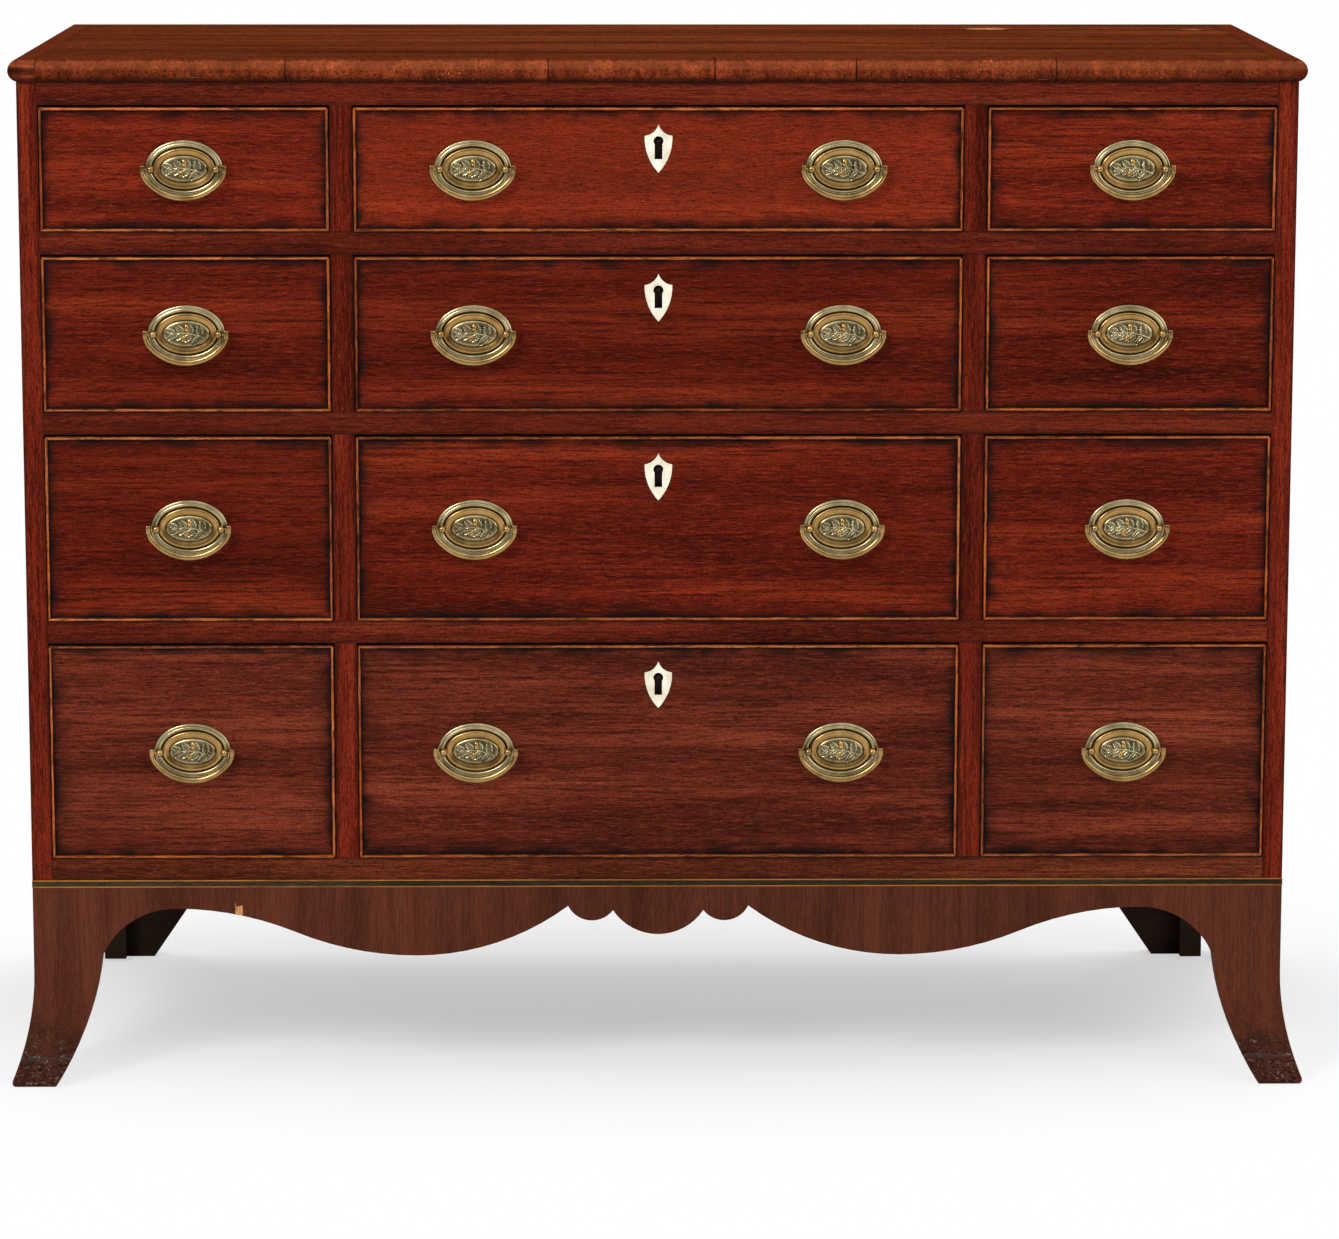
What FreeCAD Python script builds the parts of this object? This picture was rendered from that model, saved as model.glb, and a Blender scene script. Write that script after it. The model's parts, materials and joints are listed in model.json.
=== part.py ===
"""Chest of twelve drawers on splayed bracket feet, in millimetres.

X runs to the right, the drawer fronts face -Y and Z is up. The floor is Z = 0 and the chest
stands centred on the origin. Four rows of drawers grow taller towards the floor; each row has a
narrow, a wide and a narrow drawer. Every drawer slides and every bail swings, so each of these is
a sub-part of its own.
"""

import FreeCAD, Part
import Sketcher
import os
from types import SimpleNamespace

V = FreeCAD.Vector

# Driving sizes: name, millimetres, what is measured.
SIZES = (
    ("carcase_width", 1234, "across the outer faces of the sides"),
    ("carcase_depth", 515, "front face of the rails to the back face"),
    ("base_height", 205.5, "floor to the underside of the carcase"),
    ("rail_height", 22.5, "each rail between two rows"),
    ("row1_height", 122, "opening of the top row"),
    ("row2_height", 153, "opening of the second row"),
    ("row3_height", 184, "opening of the third row"),
    ("row4_height", 215, "opening of the bottom row"),
    ("side_column", 280, "opening width of a narrow drawer"),
    ("divider_width", 22, "upright between two drawers"),
    ("side_board", 20, "thickness of a side, and width of its stile"),
    ("stile_board", 5, "thickness of the stile facing"),
    ("rail_depth", 70, "rail and divider, front to back"),
    ("rail_tenon", 8, "rail end let into the side"),
    ("divider_tenon", 5, "divider end let into the rail"),
    ("divider_shoulder", 5, "divider face to its tenon"),
    ("runner_width", 24, "runner along a side"),
    ("runner_bearing", 18, "middle runner under each drawer beside it"),
    ("guide_height", 30, "guide strip on a middle runner"),
    ("guide_slack", 1, "guide strip set back from the divider's face"),
    ("stop_length", 30, "drawer stop, across"),
    ("stop_depth", 14, "drawer stop, front to back"),
    ("stop_height", 5, "drawer stop above the rail"),
    ("dust_board", 8, "dust board thickness"),
    ("dust_tongue", 5, "dust board edge let into a runner or rail"),
    ("back_board", 12, "back board thickness"),
    ("back_rebate", 8, "back let into the sides"),
    ("back_joint", 0.6, "open joint between two back boards"),
    ("top_board", 22, "thickness of the top"),
    ("top_overhang", 7, "top beyond each side"),
    ("top_front_overhang", 9, "top beyond the rails"),
    ("top_back_overhang", 6, "top beyond the back"),
    ("moulding_width", 26, "cross-grain edge moulding"),
    ("nose_depth", 8, "roundness of the moulding's nose"),
    ("band_height", 7.5, "inlaid band at the base"),
    ("band_line", 1.2, "light line above and below the band"),
    ("band_bed", 3, "depth of the band in the apron"),
    ("band_proud", 0.3, "band standing out of the apron"),
    ("apron_board", 20, "thickness of the apron and feet"),
    ("foot_flare", 24, "outward splay of the foot at the floor"),
    ("flare_height", 112, "height where the splay begins"),
    ("toe_inset", 21, "inner edge of the toe from the carcase corner"),
    ("foot_bow", 8, "hollow of the foot's inner edge"),
    ("arch_inset", 67, "inner edge of the foot at the spring of the arch"),
    ("arch_spring", 126, "height of the spring of the arch"),
    ("arch_run", 73, "spring of the arch to its crown, along the apron"),
    ("crown_drop", 29, "crown of the arch below the carcase"),
    ("swag_place", 238.5, "lowest place of the front apron from the centre"),
    ("swag_drop", 77, "lowest place of the front apron below the carcase"),
    ("cusp_place", 89, "outer cusp from the centre"),
    ("cusp_drop", 27, "outer cusp below the carcase"),
    ("lobe_place", 44.6, "inner cusp from the centre"),
    ("lobe_drop", 31.5, "inner cusp below the carcase"),
    ("lobe_bow", 12.5, "depth of the small lobe"),
    ("pendant_drop", 55.8, "centre lobe below the carcase"),
    ("side_swag_drop", 56, "lowest place of a side apron below the carcase"),
    ("rear_toe", 52, "rear bracket along the floor"),
    ("rear_reach", 192, "rear bracket under the carcase"),
    ("rear_board", 18, "thickness of the rear bracket"),
    ("rear_taper", 16, "rear foot, toe behind the spring of its arch"),
    ("block_size", 23, "corner block in a foot"),
    ("block_lift", 85, "front block above the floor"),
    ("rear_block_lift", 3, "rear block above the floor"),
    ("drawer_side_gap", 0.8, "drawer front to stile or divider"),
    ("drawer_top_gap", 1.8, "drawer front to the rail above"),
    ("drawer_lift", 0.3, "drawer above the rail it runs on"),
    ("drawer_length", 480, "front to back"),
    ("front_board", 20, "drawer front thickness"),
    ("drawer_side", 9, "drawer side and back thickness"),
    ("side_drop", 4, "drawer side below the top of its front"),
    ("rear_drop", 8, "drawer back below its sides"),
    ("tail_length", 11, "dovetail into the front"),
    ("tail_pitch", 45, "about one tail in this height"),
    ("pin_width", 10, "front left between two tails"),
    ("bottom_board", 7, "drawer bottom thickness"),
    ("bottom_lift", 8, "drawer bottom above its lower edge"),
    ("bottom_tongue", 4, "drawer bottom let into the sides and front"),
    ("bead_width", 3, "bead round a drawer front"),
    ("bead_bed", 7.5, "bead let into the front"),
    ("bead_proud", 2.5, "bead standing out of the front"),
    ("handle_place", 179, "handle of a wide drawer from the centre"),
    ("plate_half_width", 37.6, "oval plate, half its long axis"),
    ("plate_half_height", 27.7, "oval plate, half its short axis"),
    ("post_place", 31.5, "post from the middle of the plate"),
    ("post_reach", 9.5, "pivot in front of the drawer face"),
    ("ball_radius", 3.9, "ball end of a post"),
    ("neck_radius", 2.6, "post through the plate"),
    ("shank_radius", 2, "post through the drawer front"),
    ("bore_clearance", 0.2, "hole round a post"),
    ("nut_radius", 6, "nut inside the drawer"),
    ("nut_height", 4, "nut inside the drawer"),
    ("bail_half_width", 39.2, "bail, middle of the bar at the pivot"),
    ("bail_drop", 28.4, "bail, middle of the bar below the pivot"),
    ("bail_corner", 18, "radius of the bail beside the plate"),
    ("bail_radius", 2.5, "bail bar"),
    ("bail_ear", 4, "bail end above the pivot"),
    ("pivot_radius", 1.2, "pivot pin of the bail"),
    ("pivot_clearance", 0.06, "hole round the pivot pin"),
    ("shield_height", 46.6, "escutcheon"),
    ("shield_half_width", 13.4, "escutcheon at its shoulders"),
    ("shield_shoulder", 11, "shoulders below the tip"),
    ("shield_hollow", 2.6, "hollow of the top edges"),
    ("shield_bow", 3.8, "bow of the side edges"),
    ("shield_board", 2.2, "escutcheon thickness"),
    ("shield_proud", 0.3, "escutcheon standing out of the front"),
    ("shield_drop", 18.5, "escutcheon tip below the opening's top"),
    ("key_drop", 16.2, "keyhole centre below the tip"),
    ("key_radius", 4.8, "round of the keyhole"),
    ("key_slot", 3.7, "half the width of the keyhole's slot"),
    ("key_length", 17.4, "slot below the keyhole centre"),
    ("lock_half_width", 28, "lock case"),
    ("lock_height", 58, "lock case from the top of the drawer"),
    ("lock_depth", 9, "lock case let into the front"),
    ("lock_flange", 6, "lock plate beyond its case"),
    ("lock_plate", 1.8, "lock plate thickness"),
    ("bolt_half_width", 7, "lock bolt"),
    ("bolt_depth", 4.5, "lock bolt"),
    ("bolt_height", 16, "lock bolt"),
    ("bolt_slack", 0.3, "slot round the bolt"),
    ("bolt_mortise", 1, "rail mortise beyond the bolt, on each side"),
    ("drill_pin", 1.5, "pin in the keyhole, radius"),
)
BACK_BOARDS = 7
DOVETAIL_SLOPE = 6
STOP_SHARES = {"a": 0.25, "b": 0.75}
# Oval plate, from its rim to the top of its boss: inset from the rim and height of each ring.
PLATE_RINGS = ((0, 0), (0, 0.8), (1.2, 1.8), (2.6, 1.8), (3.6, 1.1), (6.4, 1.0), (7.6, 2.6), (10.4, 3.4),
               (13, 2.8), (14.3, 1.9), (15.4, 2.9), (18, 4.0), (21.5, 4.5))


class Size:
    """A number that keeps the sheet expression it came from."""

    def __init__(self, number, text):
        self.number = number
        self.text = text

    def __add__(self, other):
        other = as_size(other)
        return Size(self.number + other.number, f"({self.text} + {other.text})")

    def __sub__(self, other):
        other = as_size(other)
        return Size(self.number - other.number, f"({self.text} - {other.text})")

    def __mul__(self, other):
        other = as_size(other)
        return Size(self.number * other.number, f"({self.text} * {other.text})")

    def __truediv__(self, other):
        other = as_size(other)
        return Size(self.number / other.number, f"({self.text} / {other.text})")

    def __neg__(self):
        return Size(-self.number, f"(0 - {self.text})")


def as_size(amount):
    return amount if isinstance(amount, Size) else Size(float(amount), repr(float(amount)))


doc = FreeCAD.newDocument("chest_of_drawers")
sheet = doc.addObject("Spreadsheet::Sheet", "Sizes")
for row, (name, amount, meaning) in enumerate(SIZES, start=1):
    sheet.set(f"A{row}", name)
    sheet.set(f"B{row}", str(amount))
    sheet.set(f"C{row}", meaning)
    sheet.setAlias(f"B{row}", name)
doc.recompute()
S = SimpleNamespace(**{name: Size(float(sheet.get(name)), f"Sizes.{name}") for name, _, _ in SIZES})

TO_FRONT = FreeCAD.Rotation(V(1, 0, 0), 90)
TO_RIGHT = FreeCAD.Rotation(V(0, 1, 0), 90)
EDGE_RIGHT = FreeCAD.Rotation(V(0, 0, 1), -90)
TURN_BACK = FreeCAD.Rotation(V(0, 1, 0), 180)
NO_TURN = FreeCAD.Rotation()
nodes = []


def bind(thing, prop, amount):
    thing.setExpression(prop, as_size(amount).text)


def place(thing, x, y, z, turn=NO_TURN):
    thing.Placement = FreeCAD.Placement(V(0, 0, 0), turn)
    for axis, amount in zip("xyz", (x, y, z)):
        bind(thing, f"Placement.Base.{axis}", amount)
    return thing


def board(name, x, y, z):
    """A squared board from its low to its high place on each axis."""
    box = doc.addObject("Part::Box", name)
    for prop, (low, high) in zip(("Length", "Width", "Height"), (x, y, z)):
        bind(box, prop, as_size(high) - low)
    return place(box, x[0], y[0], z[0])


def wedge(name, bottom, top, rise, at, turn=NO_TURN):
    """A strip whose section changes from bottom to top; each is ((x low, x high), (z low, z high))."""
    strip = doc.addObject("Part::Wedge", name)
    spans = {"X": bottom[0], "Z": bottom[1], "X2": top[0], "Z2": top[1], "Y": (0, rise)}
    for axis, (low, high) in spans.items():
        bind(strip, f"{axis}min", low)
        bind(strip, f"{axis}max", high)
    return place(strip, *at, turn)


def rod(name, radius, length, at, turn):
    cylinder = doc.addObject("Part::Cylinder", name)
    bind(cylinder, "Radius", radius)
    bind(cylinder, "Height", length)
    return place(cylinder, *at, turn)


def fuse(name, *shapes):
    joined = doc.addObject("Part::MultiFuse", name)
    joined.Shapes = list(shapes)
    joined.Refine = True
    return joined


def cut(name, base, *tools):
    removed = doc.addObject("Part::Cut", name)
    removed.Base = base
    removed.Tool = tools[0] if len(tools) == 1 else fuse(f"{name}_waste", *tools)
    return removed


def common(name, base, tool):
    kept = doc.addObject("Part::Common", name)
    kept.Base = base
    kept.Tool = tool
    return kept


def mirror(name, source):
    other = doc.addObject("Part::Mirroring", name)
    other.Source = source
    other.Normal = V(1, 0, 0)
    return other


def copy_of(name, master, x, y, z, turn=NO_TURN):
    link = doc.addObject("App::Link", name)
    link.LinkedObject = master
    return place(link, x, y, z, turn)


def node(label, *shapes):
    """One sub-part: the separate solids that stay together in one file."""
    group = doc.addObject("Part::Compound", label)
    group.Label = label
    group.Links = list(shapes)
    nodes.append(group)
    return group


def sketch_on(body, role, name):
    drawing = body.newObject("Sketcher::SketchObject", name)
    plane = next(face for face in body.Origin.OriginFeatures if face.Role == role)
    drawing.AttachmentSupport = [(plane, "")]
    drawing.MapMode = "FlatFace"
    return drawing


def arc_between(start, end, radius, turn):
    """The shorter arc from start to end; turn 1 bends to the left of the way, -1 to the right."""
    chord = end - start
    half = chord.Length / 2
    left = V(-chord.y, chord.x, 0).normalize()
    middle = (start + end) * 0.5 + left * (turn * max(radius**2 - half**2, 0) ** 0.5)
    ends = (start, end) if turn > 0 else (end, start)
    angles = [V(1, 0, 0).getAngle(end_point - middle) for end_point in ends]
    angles = [-angle if end_point.y < middle.y else angle for angle, end_point in zip(angles, ends)]
    return Part.ArcOfCircle(Part.Circle(middle, V(0, 0, 1), radius), *angles)


def trace(drawing, corners, closed=True):
    """Draws an outline through corners (x, y), or (x, y, radius, turn) where an arc leads there."""
    count = len(corners)
    edges = []
    for here in range(count if closed else count - 1):
        start, goal = corners[here], corners[(here + 1) % count]
        a, b = (V(as_size(x).number, as_size(y).number, 0) for x, y in (start[:2], goal[:2]))
        if len(goal) == 2:
            edges.append((drawing.addGeometry(Part.LineSegment(a, b), False), 1, 2))
            continue
        radius, turn = goal[2:]
        edge = drawing.addGeometry(arc_between(a, b, radius.number, turn), False)
        edges.append((edge, 1, 2) if turn > 0 else (edge, 2, 1))
        bind_constraint(drawing, radius, "Radius", edge)
    for here, (edge, first, last) in enumerate(edges):
        pin(drawing, edge, first, *corners[here][:2])
        if here + 1 < len(edges) or closed:
            after = edges[(here + 1) % len(edges)]
            drawing.addConstraint(Sketcher.Constraint("Coincident", edge, last, after[0], after[1]))
        else:
            pin(drawing, edge, last, *corners[-1][:2])
    return drawing


def bind_constraint(drawing, amount, kind, *where):
    index = drawing.addConstraint(Sketcher.Constraint(kind, *where, amount.number))
    drawing.setExpression(f"Constraints[{index}]", amount.text)


def pin(drawing, edge, end, x, y):
    for kind, axis, amount in (("DistanceX", -2, as_size(x)), ("DistanceY", -1, as_size(y))):
        if amount.number == 0:
            drawing.addConstraint(Sketcher.Constraint("PointOnObject", edge, end, axis))
        else:
            bind_constraint(drawing, amount, kind, -1, 1, edge, end)


def sagitta_radius(run, rise):
    """Radius of an arc that leaves its start along the run and has climbed by rise at its end."""
    return (run * run + rise * rise) / (rise * 2)


def bow_radius(run, rise, bow):
    """Radius of an arc over a chord (run, rise) that bows away from it by bow."""
    return ((run * run + rise * rise) / 4 + bow * bow) / (bow * 2)


def ogee_radius(run, rise):
    """Radius of two equal arcs that join two level tangents in an S."""
    return (run * run + rise * rise) / (rise * 4)


# Main places. The splayed feet reach furthest to the front, the top reaches furthest to the back.
depth_over_all = S.foot_flare + S.carcase_depth + S.top_back_overhang
front = S.foot_flare - depth_over_all / 2
back = front + S.carcase_depth
half = S.carcase_width / 2
inner = half - S.side_board
rail_back = front + S.rail_depth
panel_front = back - S.back_board
centre_half = inner - S.side_column - S.divider_width
divider_middle = centre_half + S.divider_width / 2

rows = {}
rails = []
level = S.base_height
for number in (4, 3, 2, 1):
    rails.insert(0, (level, level + S.rail_height))
    opening = level + S.rail_height
    level = opening + getattr(S, f"row{number}_height")
    rows[number] = (opening, level)
rails.insert(0, (level, level + S.rail_height))
top_low = level + S.rail_height
top_high = top_low + S.top_board
columns = {
    "left": (-inner, -inner + S.side_column),
    "centre": (-centre_half, centre_half),
    "right": (inner - S.side_column, inner),
}

# Top: one moulded slab, divided into the panel and its three cross-grain mouldings.
top_half = half + S.top_overhang
top_front = front - S.top_front_overhang
top_back = back + S.top_back_overhang
nose_radius = sagitta_radius(S.top_board / 2, S.nose_depth)
along = doc.addObject("PartDesign::Body", "top_front_profile")
drawing = sketch_on(along, "YZ_Plane", "top_front_section")
shoulder = top_front + S.nose_depth
trace(drawing, [(top_back, top_low), (top_back, top_high), (shoulder, top_high),
                (top_front, top_high - S.top_board / 2, nose_radius, 1), (shoulder, top_low, nose_radius, 1)])
length = along.newObject("PartDesign::Pad", "top_length")
length.Profile = drawing
length.Midplane = True
bind(length, "Length", top_half * 2)
across = doc.addObject("PartDesign::Body", "top_end_profile")
drawing = sketch_on(across, "XZ_Plane", "top_end_section")
shoulder = top_half - S.nose_depth
nose_level = top_high - S.top_board / 2
trace(drawing, [(-shoulder, top_low, nose_radius, 1), (shoulder, top_low),
                (top_half, nose_level, nose_radius, 1), (shoulder, top_high, nose_radius, 1),
                (-shoulder, top_high), (-top_half, nose_level, nose_radius, 1)])
breadth = across.newObject("PartDesign::Pad", "top_breadth")
breadth.Profile = drawing
breadth.Midplane = True
bind(breadth, "Length", depth_over_all * 2)
slab = common("top_slab", along, across)

joint_left = S.moulding_width - top_half
joint_right = top_half - S.moulding_width
joint_front = top_front + S.moulding_width
top_level = (top_low, top_high)
node("top_panel", common("top_panel_board", slab, board(
    "top_panel_place", (joint_left, joint_right), (joint_front, top_back), top_level)))
node("top_mouldings",
     common("top_left_moulding", slab, board(
         "top_left_place", (-top_half, joint_left), (top_front, top_back), top_level)),
     common("top_front_moulding", slab, board(
         "top_front_place", (joint_left, top_half), (top_front, joint_front), top_level)),
     common("top_right_moulding", slab, board(
         "top_right_place", (joint_right, top_half), (joint_front, top_back), top_level)))

# Sides with housings for the rails and a rebate for the back, and their stiles.
side_front = front + S.stile_board
side_level = (S.base_height, top_low)
waste = [board(f"side_housing{number}", (inner, inner + S.rail_tenon), (side_front, rail_back), rail)
         for number, rail in enumerate(rails)]
waste.append(board("side_rebate", (inner, inner + S.back_rebate), (panel_front, back), side_level))
blank = board("right_side_blank", (inner, half), (side_front, back), side_level)
side = cut("right_side_board", blank, *waste)
stile = board("right_stile", (inner, half), (front, side_front), side_level)
node("left_side", mirror("left_side_board", side))
node("right_side", side)
node("front_stiles", mirror("left_stile", stile), stile)

# Rails, let into the sides behind the stiles, grooved for the dust boards and mortised for the dividers.
divider_spans = {"left": (-centre_half - S.divider_width, -centre_half),
                 "right": (centre_half, centre_half + S.divider_width)}
tenon_depth = (front + S.rail_depth / 4, rail_back - S.rail_depth / 4)
bolt_place = front + S.front_board - S.lock_depth / 2
bolt_span = (bolt_place - S.bolt_depth / 2 - S.bolt_slack, bolt_place + S.bolt_depth / 2 + S.bolt_slack)
bolt_width = (-S.bolt_half_width - S.bolt_mortise, S.bolt_half_width + S.bolt_mortise)
rail_boards = []
for number, (low, high) in enumerate(rails):
    blank = fuse(f"rail{number}_blank",
                 board(f"rail{number}_face", (-inner, inner), (front, side_front), (low, high)),
                 board(f"rail{number}_body", (-inner - S.rail_tenon, inner + S.rail_tenon),
                       (side_front, rail_back), (low, high)))
    waste = []
    for side, (near, far) in divider_spans.items():
        tenon = (near + S.divider_shoulder, far - S.divider_shoulder)
        if number > 0:
            waste.append(board(f"rail{number}_{side}_upper_mortise", tenon, tenon_depth,
                               (high - S.divider_tenon, high)))
        if number < 4:
            waste.append(board(f"rail{number}_{side}_lower_mortise", tenon, tenon_depth,
                               (low, low + S.divider_tenon)))
    if number < 4:
        waste.append(board(f"rail{number}_bolt_mortise", bolt_width,
                           bolt_span, (low, low + S.rail_height / 2)))
    if number > 0:
        groove = (low + S.rail_height / 2 - S.dust_board / 2, low + S.rail_height / 2 + S.dust_board / 2)
        waste.append(board(f"rail{number}_groove", (-inner, inner), (rail_back - S.dust_tongue, rail_back),
                           groove))
    rail_boards.append(cut(f"rail{number}", blank, *waste))
node("drawer_rails", *rail_boards)

dividers = []
for number, (low, high) in rows.items():
    for side, (near, far) in divider_spans.items():
        tenon = (near + S.divider_shoulder, far - S.divider_shoulder)
        dividers.append(fuse(
            f"divider{number}_{side}",
            board(f"divider{number}_{side}_face", (near, far), (front, rail_back), (low, high)),
            board(f"divider{number}_{side}_tenons", tenon, tenon_depth,
                  (low - S.divider_tenon, high + S.divider_tenon))))
node("drawer_dividers", *dividers)

# Behind the rails: runners, kickers under the top, guides, stops and dust boards.
runner_spans = {
    "far_left": (-inner, -inner + S.runner_width),
    "left": (-divider_middle - S.divider_width / 2 - S.runner_bearing, -centre_half + S.runner_bearing),
    "right": (centre_half - S.runner_bearing, divider_middle + S.divider_width / 2 + S.runner_bearing),
    "far_right": (inner - S.runner_width, inner),
}
runner_depth = (rail_back, panel_front)
runners = []
dust_boards = []
for number, (low, high) in enumerate(rails):
    middle = low + S.rail_height / 2
    groove = (middle - S.dust_board / 2, middle + S.dust_board / 2)
    for side, (near, far) in runner_spans.items():
        runner = board(f"runner{number}_{side}", (near, far), runner_depth, (low, high))
        if number == 0:
            runners.append(runner)
            continue
        waste = []
        if side != "far_left":
            waste.append(board(f"runner{number}_{side}_left_groove", (near, near + S.dust_tongue),
                               runner_depth, groove))
        if side != "far_right":
            waste.append(board(f"runner{number}_{side}_right_groove", (far - S.dust_tongue, far),
                               runner_depth, groove))
        runners.append(cut(f"runner{number}_{side}_grooved", runner, *waste))
    if number == 0:
        continue
    for name, near, far in (("left", "far_left", "left"), ("centre", "left", "right"),
                            ("right", "right", "far_right")):
        span = (runner_spans[near][1] - S.dust_tongue, runner_spans[far][0] + S.dust_tongue)
        clear = (runner_spans[near][1], runner_spans[far][0])
        dust_boards.append(fuse(
            f"dust{number}_{name}",
            board(f"dust{number}_{name}_panel", span, runner_depth, groove),
            board(f"dust{number}_{name}_tongue", clear, (rail_back - S.dust_tongue, rail_back), groove)))
node("drawer_runners", *runners)
node("dust_boards", *dust_boards)

inside_front = front + S.front_board
guides = []
for number, (low, high) in rows.items():
    for side, (near, far) in divider_spans.items():
        guides.append(board(f"guide{number}_{side}", (near + S.guide_slack, far - S.guide_slack),
                            runner_depth, (low, low + S.guide_height)))
    for name, (near, far) in columns.items():
        for place_name, share in STOP_SHARES.items():
            middle = near + (far - near) * share
            guides.append(board(f"stop{number}_{name}_{place_name}",
                                (middle - S.stop_length / 2, middle + S.stop_length / 2),
                                (inside_front + S.drawer_lift, inside_front + S.drawer_lift + S.stop_depth),
                                (low, low + S.stop_height)))
node("guides_and_stops", *guides)

back_half = inner + S.back_rebate
back_pitch = (back_half * 2 + S.back_joint) / BACK_BOARDS
node("back_boards", *(board(f"back_board{number}",
                            (-back_half + back_pitch * number,
                             -back_half + back_pitch * (number + 1) - S.back_joint),
                            (panel_front, back), (S.base_height, top_low)) for number in range(BACK_BOARDS)))

# Inlaid band: a dark strip between two light lines, let into the aprons on three faces.
band_low = S.base_height - S.band_height
band_levels = {"lower_line": (band_low, band_low + S.band_line),
               "dark": (band_low + S.band_line, S.base_height - S.band_line),
               "upper_line": (S.base_height - S.band_line, S.base_height)}
bands = []
band_out = half + S.band_proud
for name, span in band_levels.items():
    bands.append(board(f"band_front_{name}", (-band_out, band_out),
                       (front - S.band_proud, front + S.band_bed), span))
    bands.append(board(f"band_left_{name}", (-band_out, S.band_bed - half), (front + S.band_bed, back), span))
    bands.append(board(f"band_right_{name}", (half - S.band_bed, band_out), (front + S.band_bed, back), span))
node("base_inlay", *bands)

# Front apron with its two feet. One half is padded along its splayed section, sawn to the serpentine
# outline and mitred at the corner.
flare_radius = sagitta_radius(S.flare_height, S.foot_flare)
mitre = S.apron_board * 4


def splayed_section(drawing, face, sense):
    """Section of an apron whose outer face is at face; sense -1 splays to the low side."""
    inside = face - S.apron_board * sense
    trace(drawing, [(face - S.band_bed * sense, S.base_height), (face - S.band_bed * sense, band_low),
                    (face, band_low), (face, S.flare_height),
                    (face + S.foot_flare * sense, 0, flare_radius, sense),
                    (inside + S.foot_flare * sense, 0),
                    (inside, S.flare_height, flare_radius, -sense), (inside, S.base_height)])


def pocket(body, name, drawing):
    waste = body.newObject("PartDesign::Pocket", name)
    waste.Profile = drawing
    waste.Type = "ThroughAll"
    waste.Midplane = True
    return waste


crown = S.base_height - S.crown_drop
swag = S.base_height - S.swag_drop
toe = half - S.toe_inset
spring = half - S.arch_inset
crown_place = spring - S.arch_run
cusp = S.base_height - S.cusp_drop
lobe = S.base_height - S.lobe_drop
pendant = S.base_height - S.pendant_drop
under = -S.apron_board
foot_radius = bow_radius(S.arch_inset - S.toe_inset, S.arch_spring, S.foot_bow)
arch_radius = sagitta_radius(S.arch_run, crown - S.arch_spring)
ogee = ogee_radius(crown_place - S.swag_place, crown - swag)
ogee_middle = ((crown_place + S.swag_place) / 2, (crown + swag) / 2)

apron_half = doc.addObject("PartDesign::Body", "front_apron_half")
drawing = sketch_on(apron_half, "YZ_Plane", "front_apron_section")
splayed_section(drawing, as_size(0), -1)
pad = apron_half.newObject("PartDesign::Pad", "front_apron_length")
pad.Profile = drawing
bind(pad, "Length", half + mitre)
drawing = sketch_on(apron_half, "XZ_Plane", "front_apron_outline")
trace(drawing, [(0, under), (toe, under), (toe, 0), (spring, S.arch_spring, foot_radius, -1),
                (crown_place, crown, arch_radius, 1),
                (*ogee_middle, ogee, 1), (S.swag_place, swag, ogee, -1),
                (S.cusp_place, cusp, sagitta_radius(S.swag_place - S.cusp_place, cusp - swag), -1),
                (S.lobe_place, lobe, bow_radius(S.cusp_place - S.lobe_place, cusp - lobe, S.lobe_bow), -1),
                (0, pendant, sagitta_radius(S.lobe_place, lobe - pendant), -1)])
pocket(apron_half, "front_apron_sawn", drawing)
drawing = sketch_on(apron_half, "XY_Plane", "front_apron_mitre")
trace(drawing, [(half + mitre, -mitre), (half + mitre * 2, mitre), (half - mitre, mitre)])
pocket(apron_half, "front_apron_mitred", drawing)
place(apron_half, 0, front, 0)
node("front_apron", fuse("front_apron_board", apron_half, mirror("front_apron_other_half", apron_half)))

# Side aprons: the same section and feet; the rear foot is upright at the back.
side_swag = S.base_height - S.side_swag_drop
side_middle = S.carcase_depth / 2
side_crown = S.arch_inset + S.arch_run
side_ogee = ogee_radius(side_middle - side_crown, crown - side_swag)
side_spring = S.carcase_depth - S.arch_inset
side_toe = side_spring + S.rear_taper
apron_side = doc.addObject("PartDesign::Body", "side_apron_right")
drawing = sketch_on(apron_side, "XZ_Plane", "side_apron_section")
splayed_section(drawing, half, 1)
pad = apron_side.newObject("PartDesign::Pad", "side_apron_length")
pad.Profile = drawing
pad.Midplane = True
bind(pad, "Length", S.carcase_depth * 2)
drawing = sketch_on(apron_side, "YZ_Plane", "side_apron_outline")
quarter = ((side_crown + side_middle) / 2, (crown + side_swag) / 2)
trace(drawing, [(side_toe, under), (side_toe, 0), (side_spring, S.arch_spring),
                (S.carcase_depth - side_crown, crown, arch_radius, 1),
                (S.carcase_depth - quarter[0], quarter[1], side_ogee, 1),
                (side_middle, side_swag, side_ogee, -1), (*quarter, side_ogee, -1),
                (side_crown, crown, side_ogee, 1),
                (S.arch_inset, S.arch_spring, arch_radius, 1), (S.toe_inset, 0, foot_radius, -1),
                (S.toe_inset, under)])
pocket(apron_side, "side_apron_sawn", drawing)
drawing = sketch_on(apron_side, "XY_Plane", "side_apron_mitre")
trace(drawing, [(half + mitre, -mitre), (half - mitre, mitre), (half - mitre, -S.carcase_depth * 2),
                (half + mitre, -S.carcase_depth * 2)])
pocket(apron_side, "side_apron_mitred", drawing)
place(apron_side, 0, front, 0)
node("side_aprons", apron_side, mirror("side_apron_left", apron_side))

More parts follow.
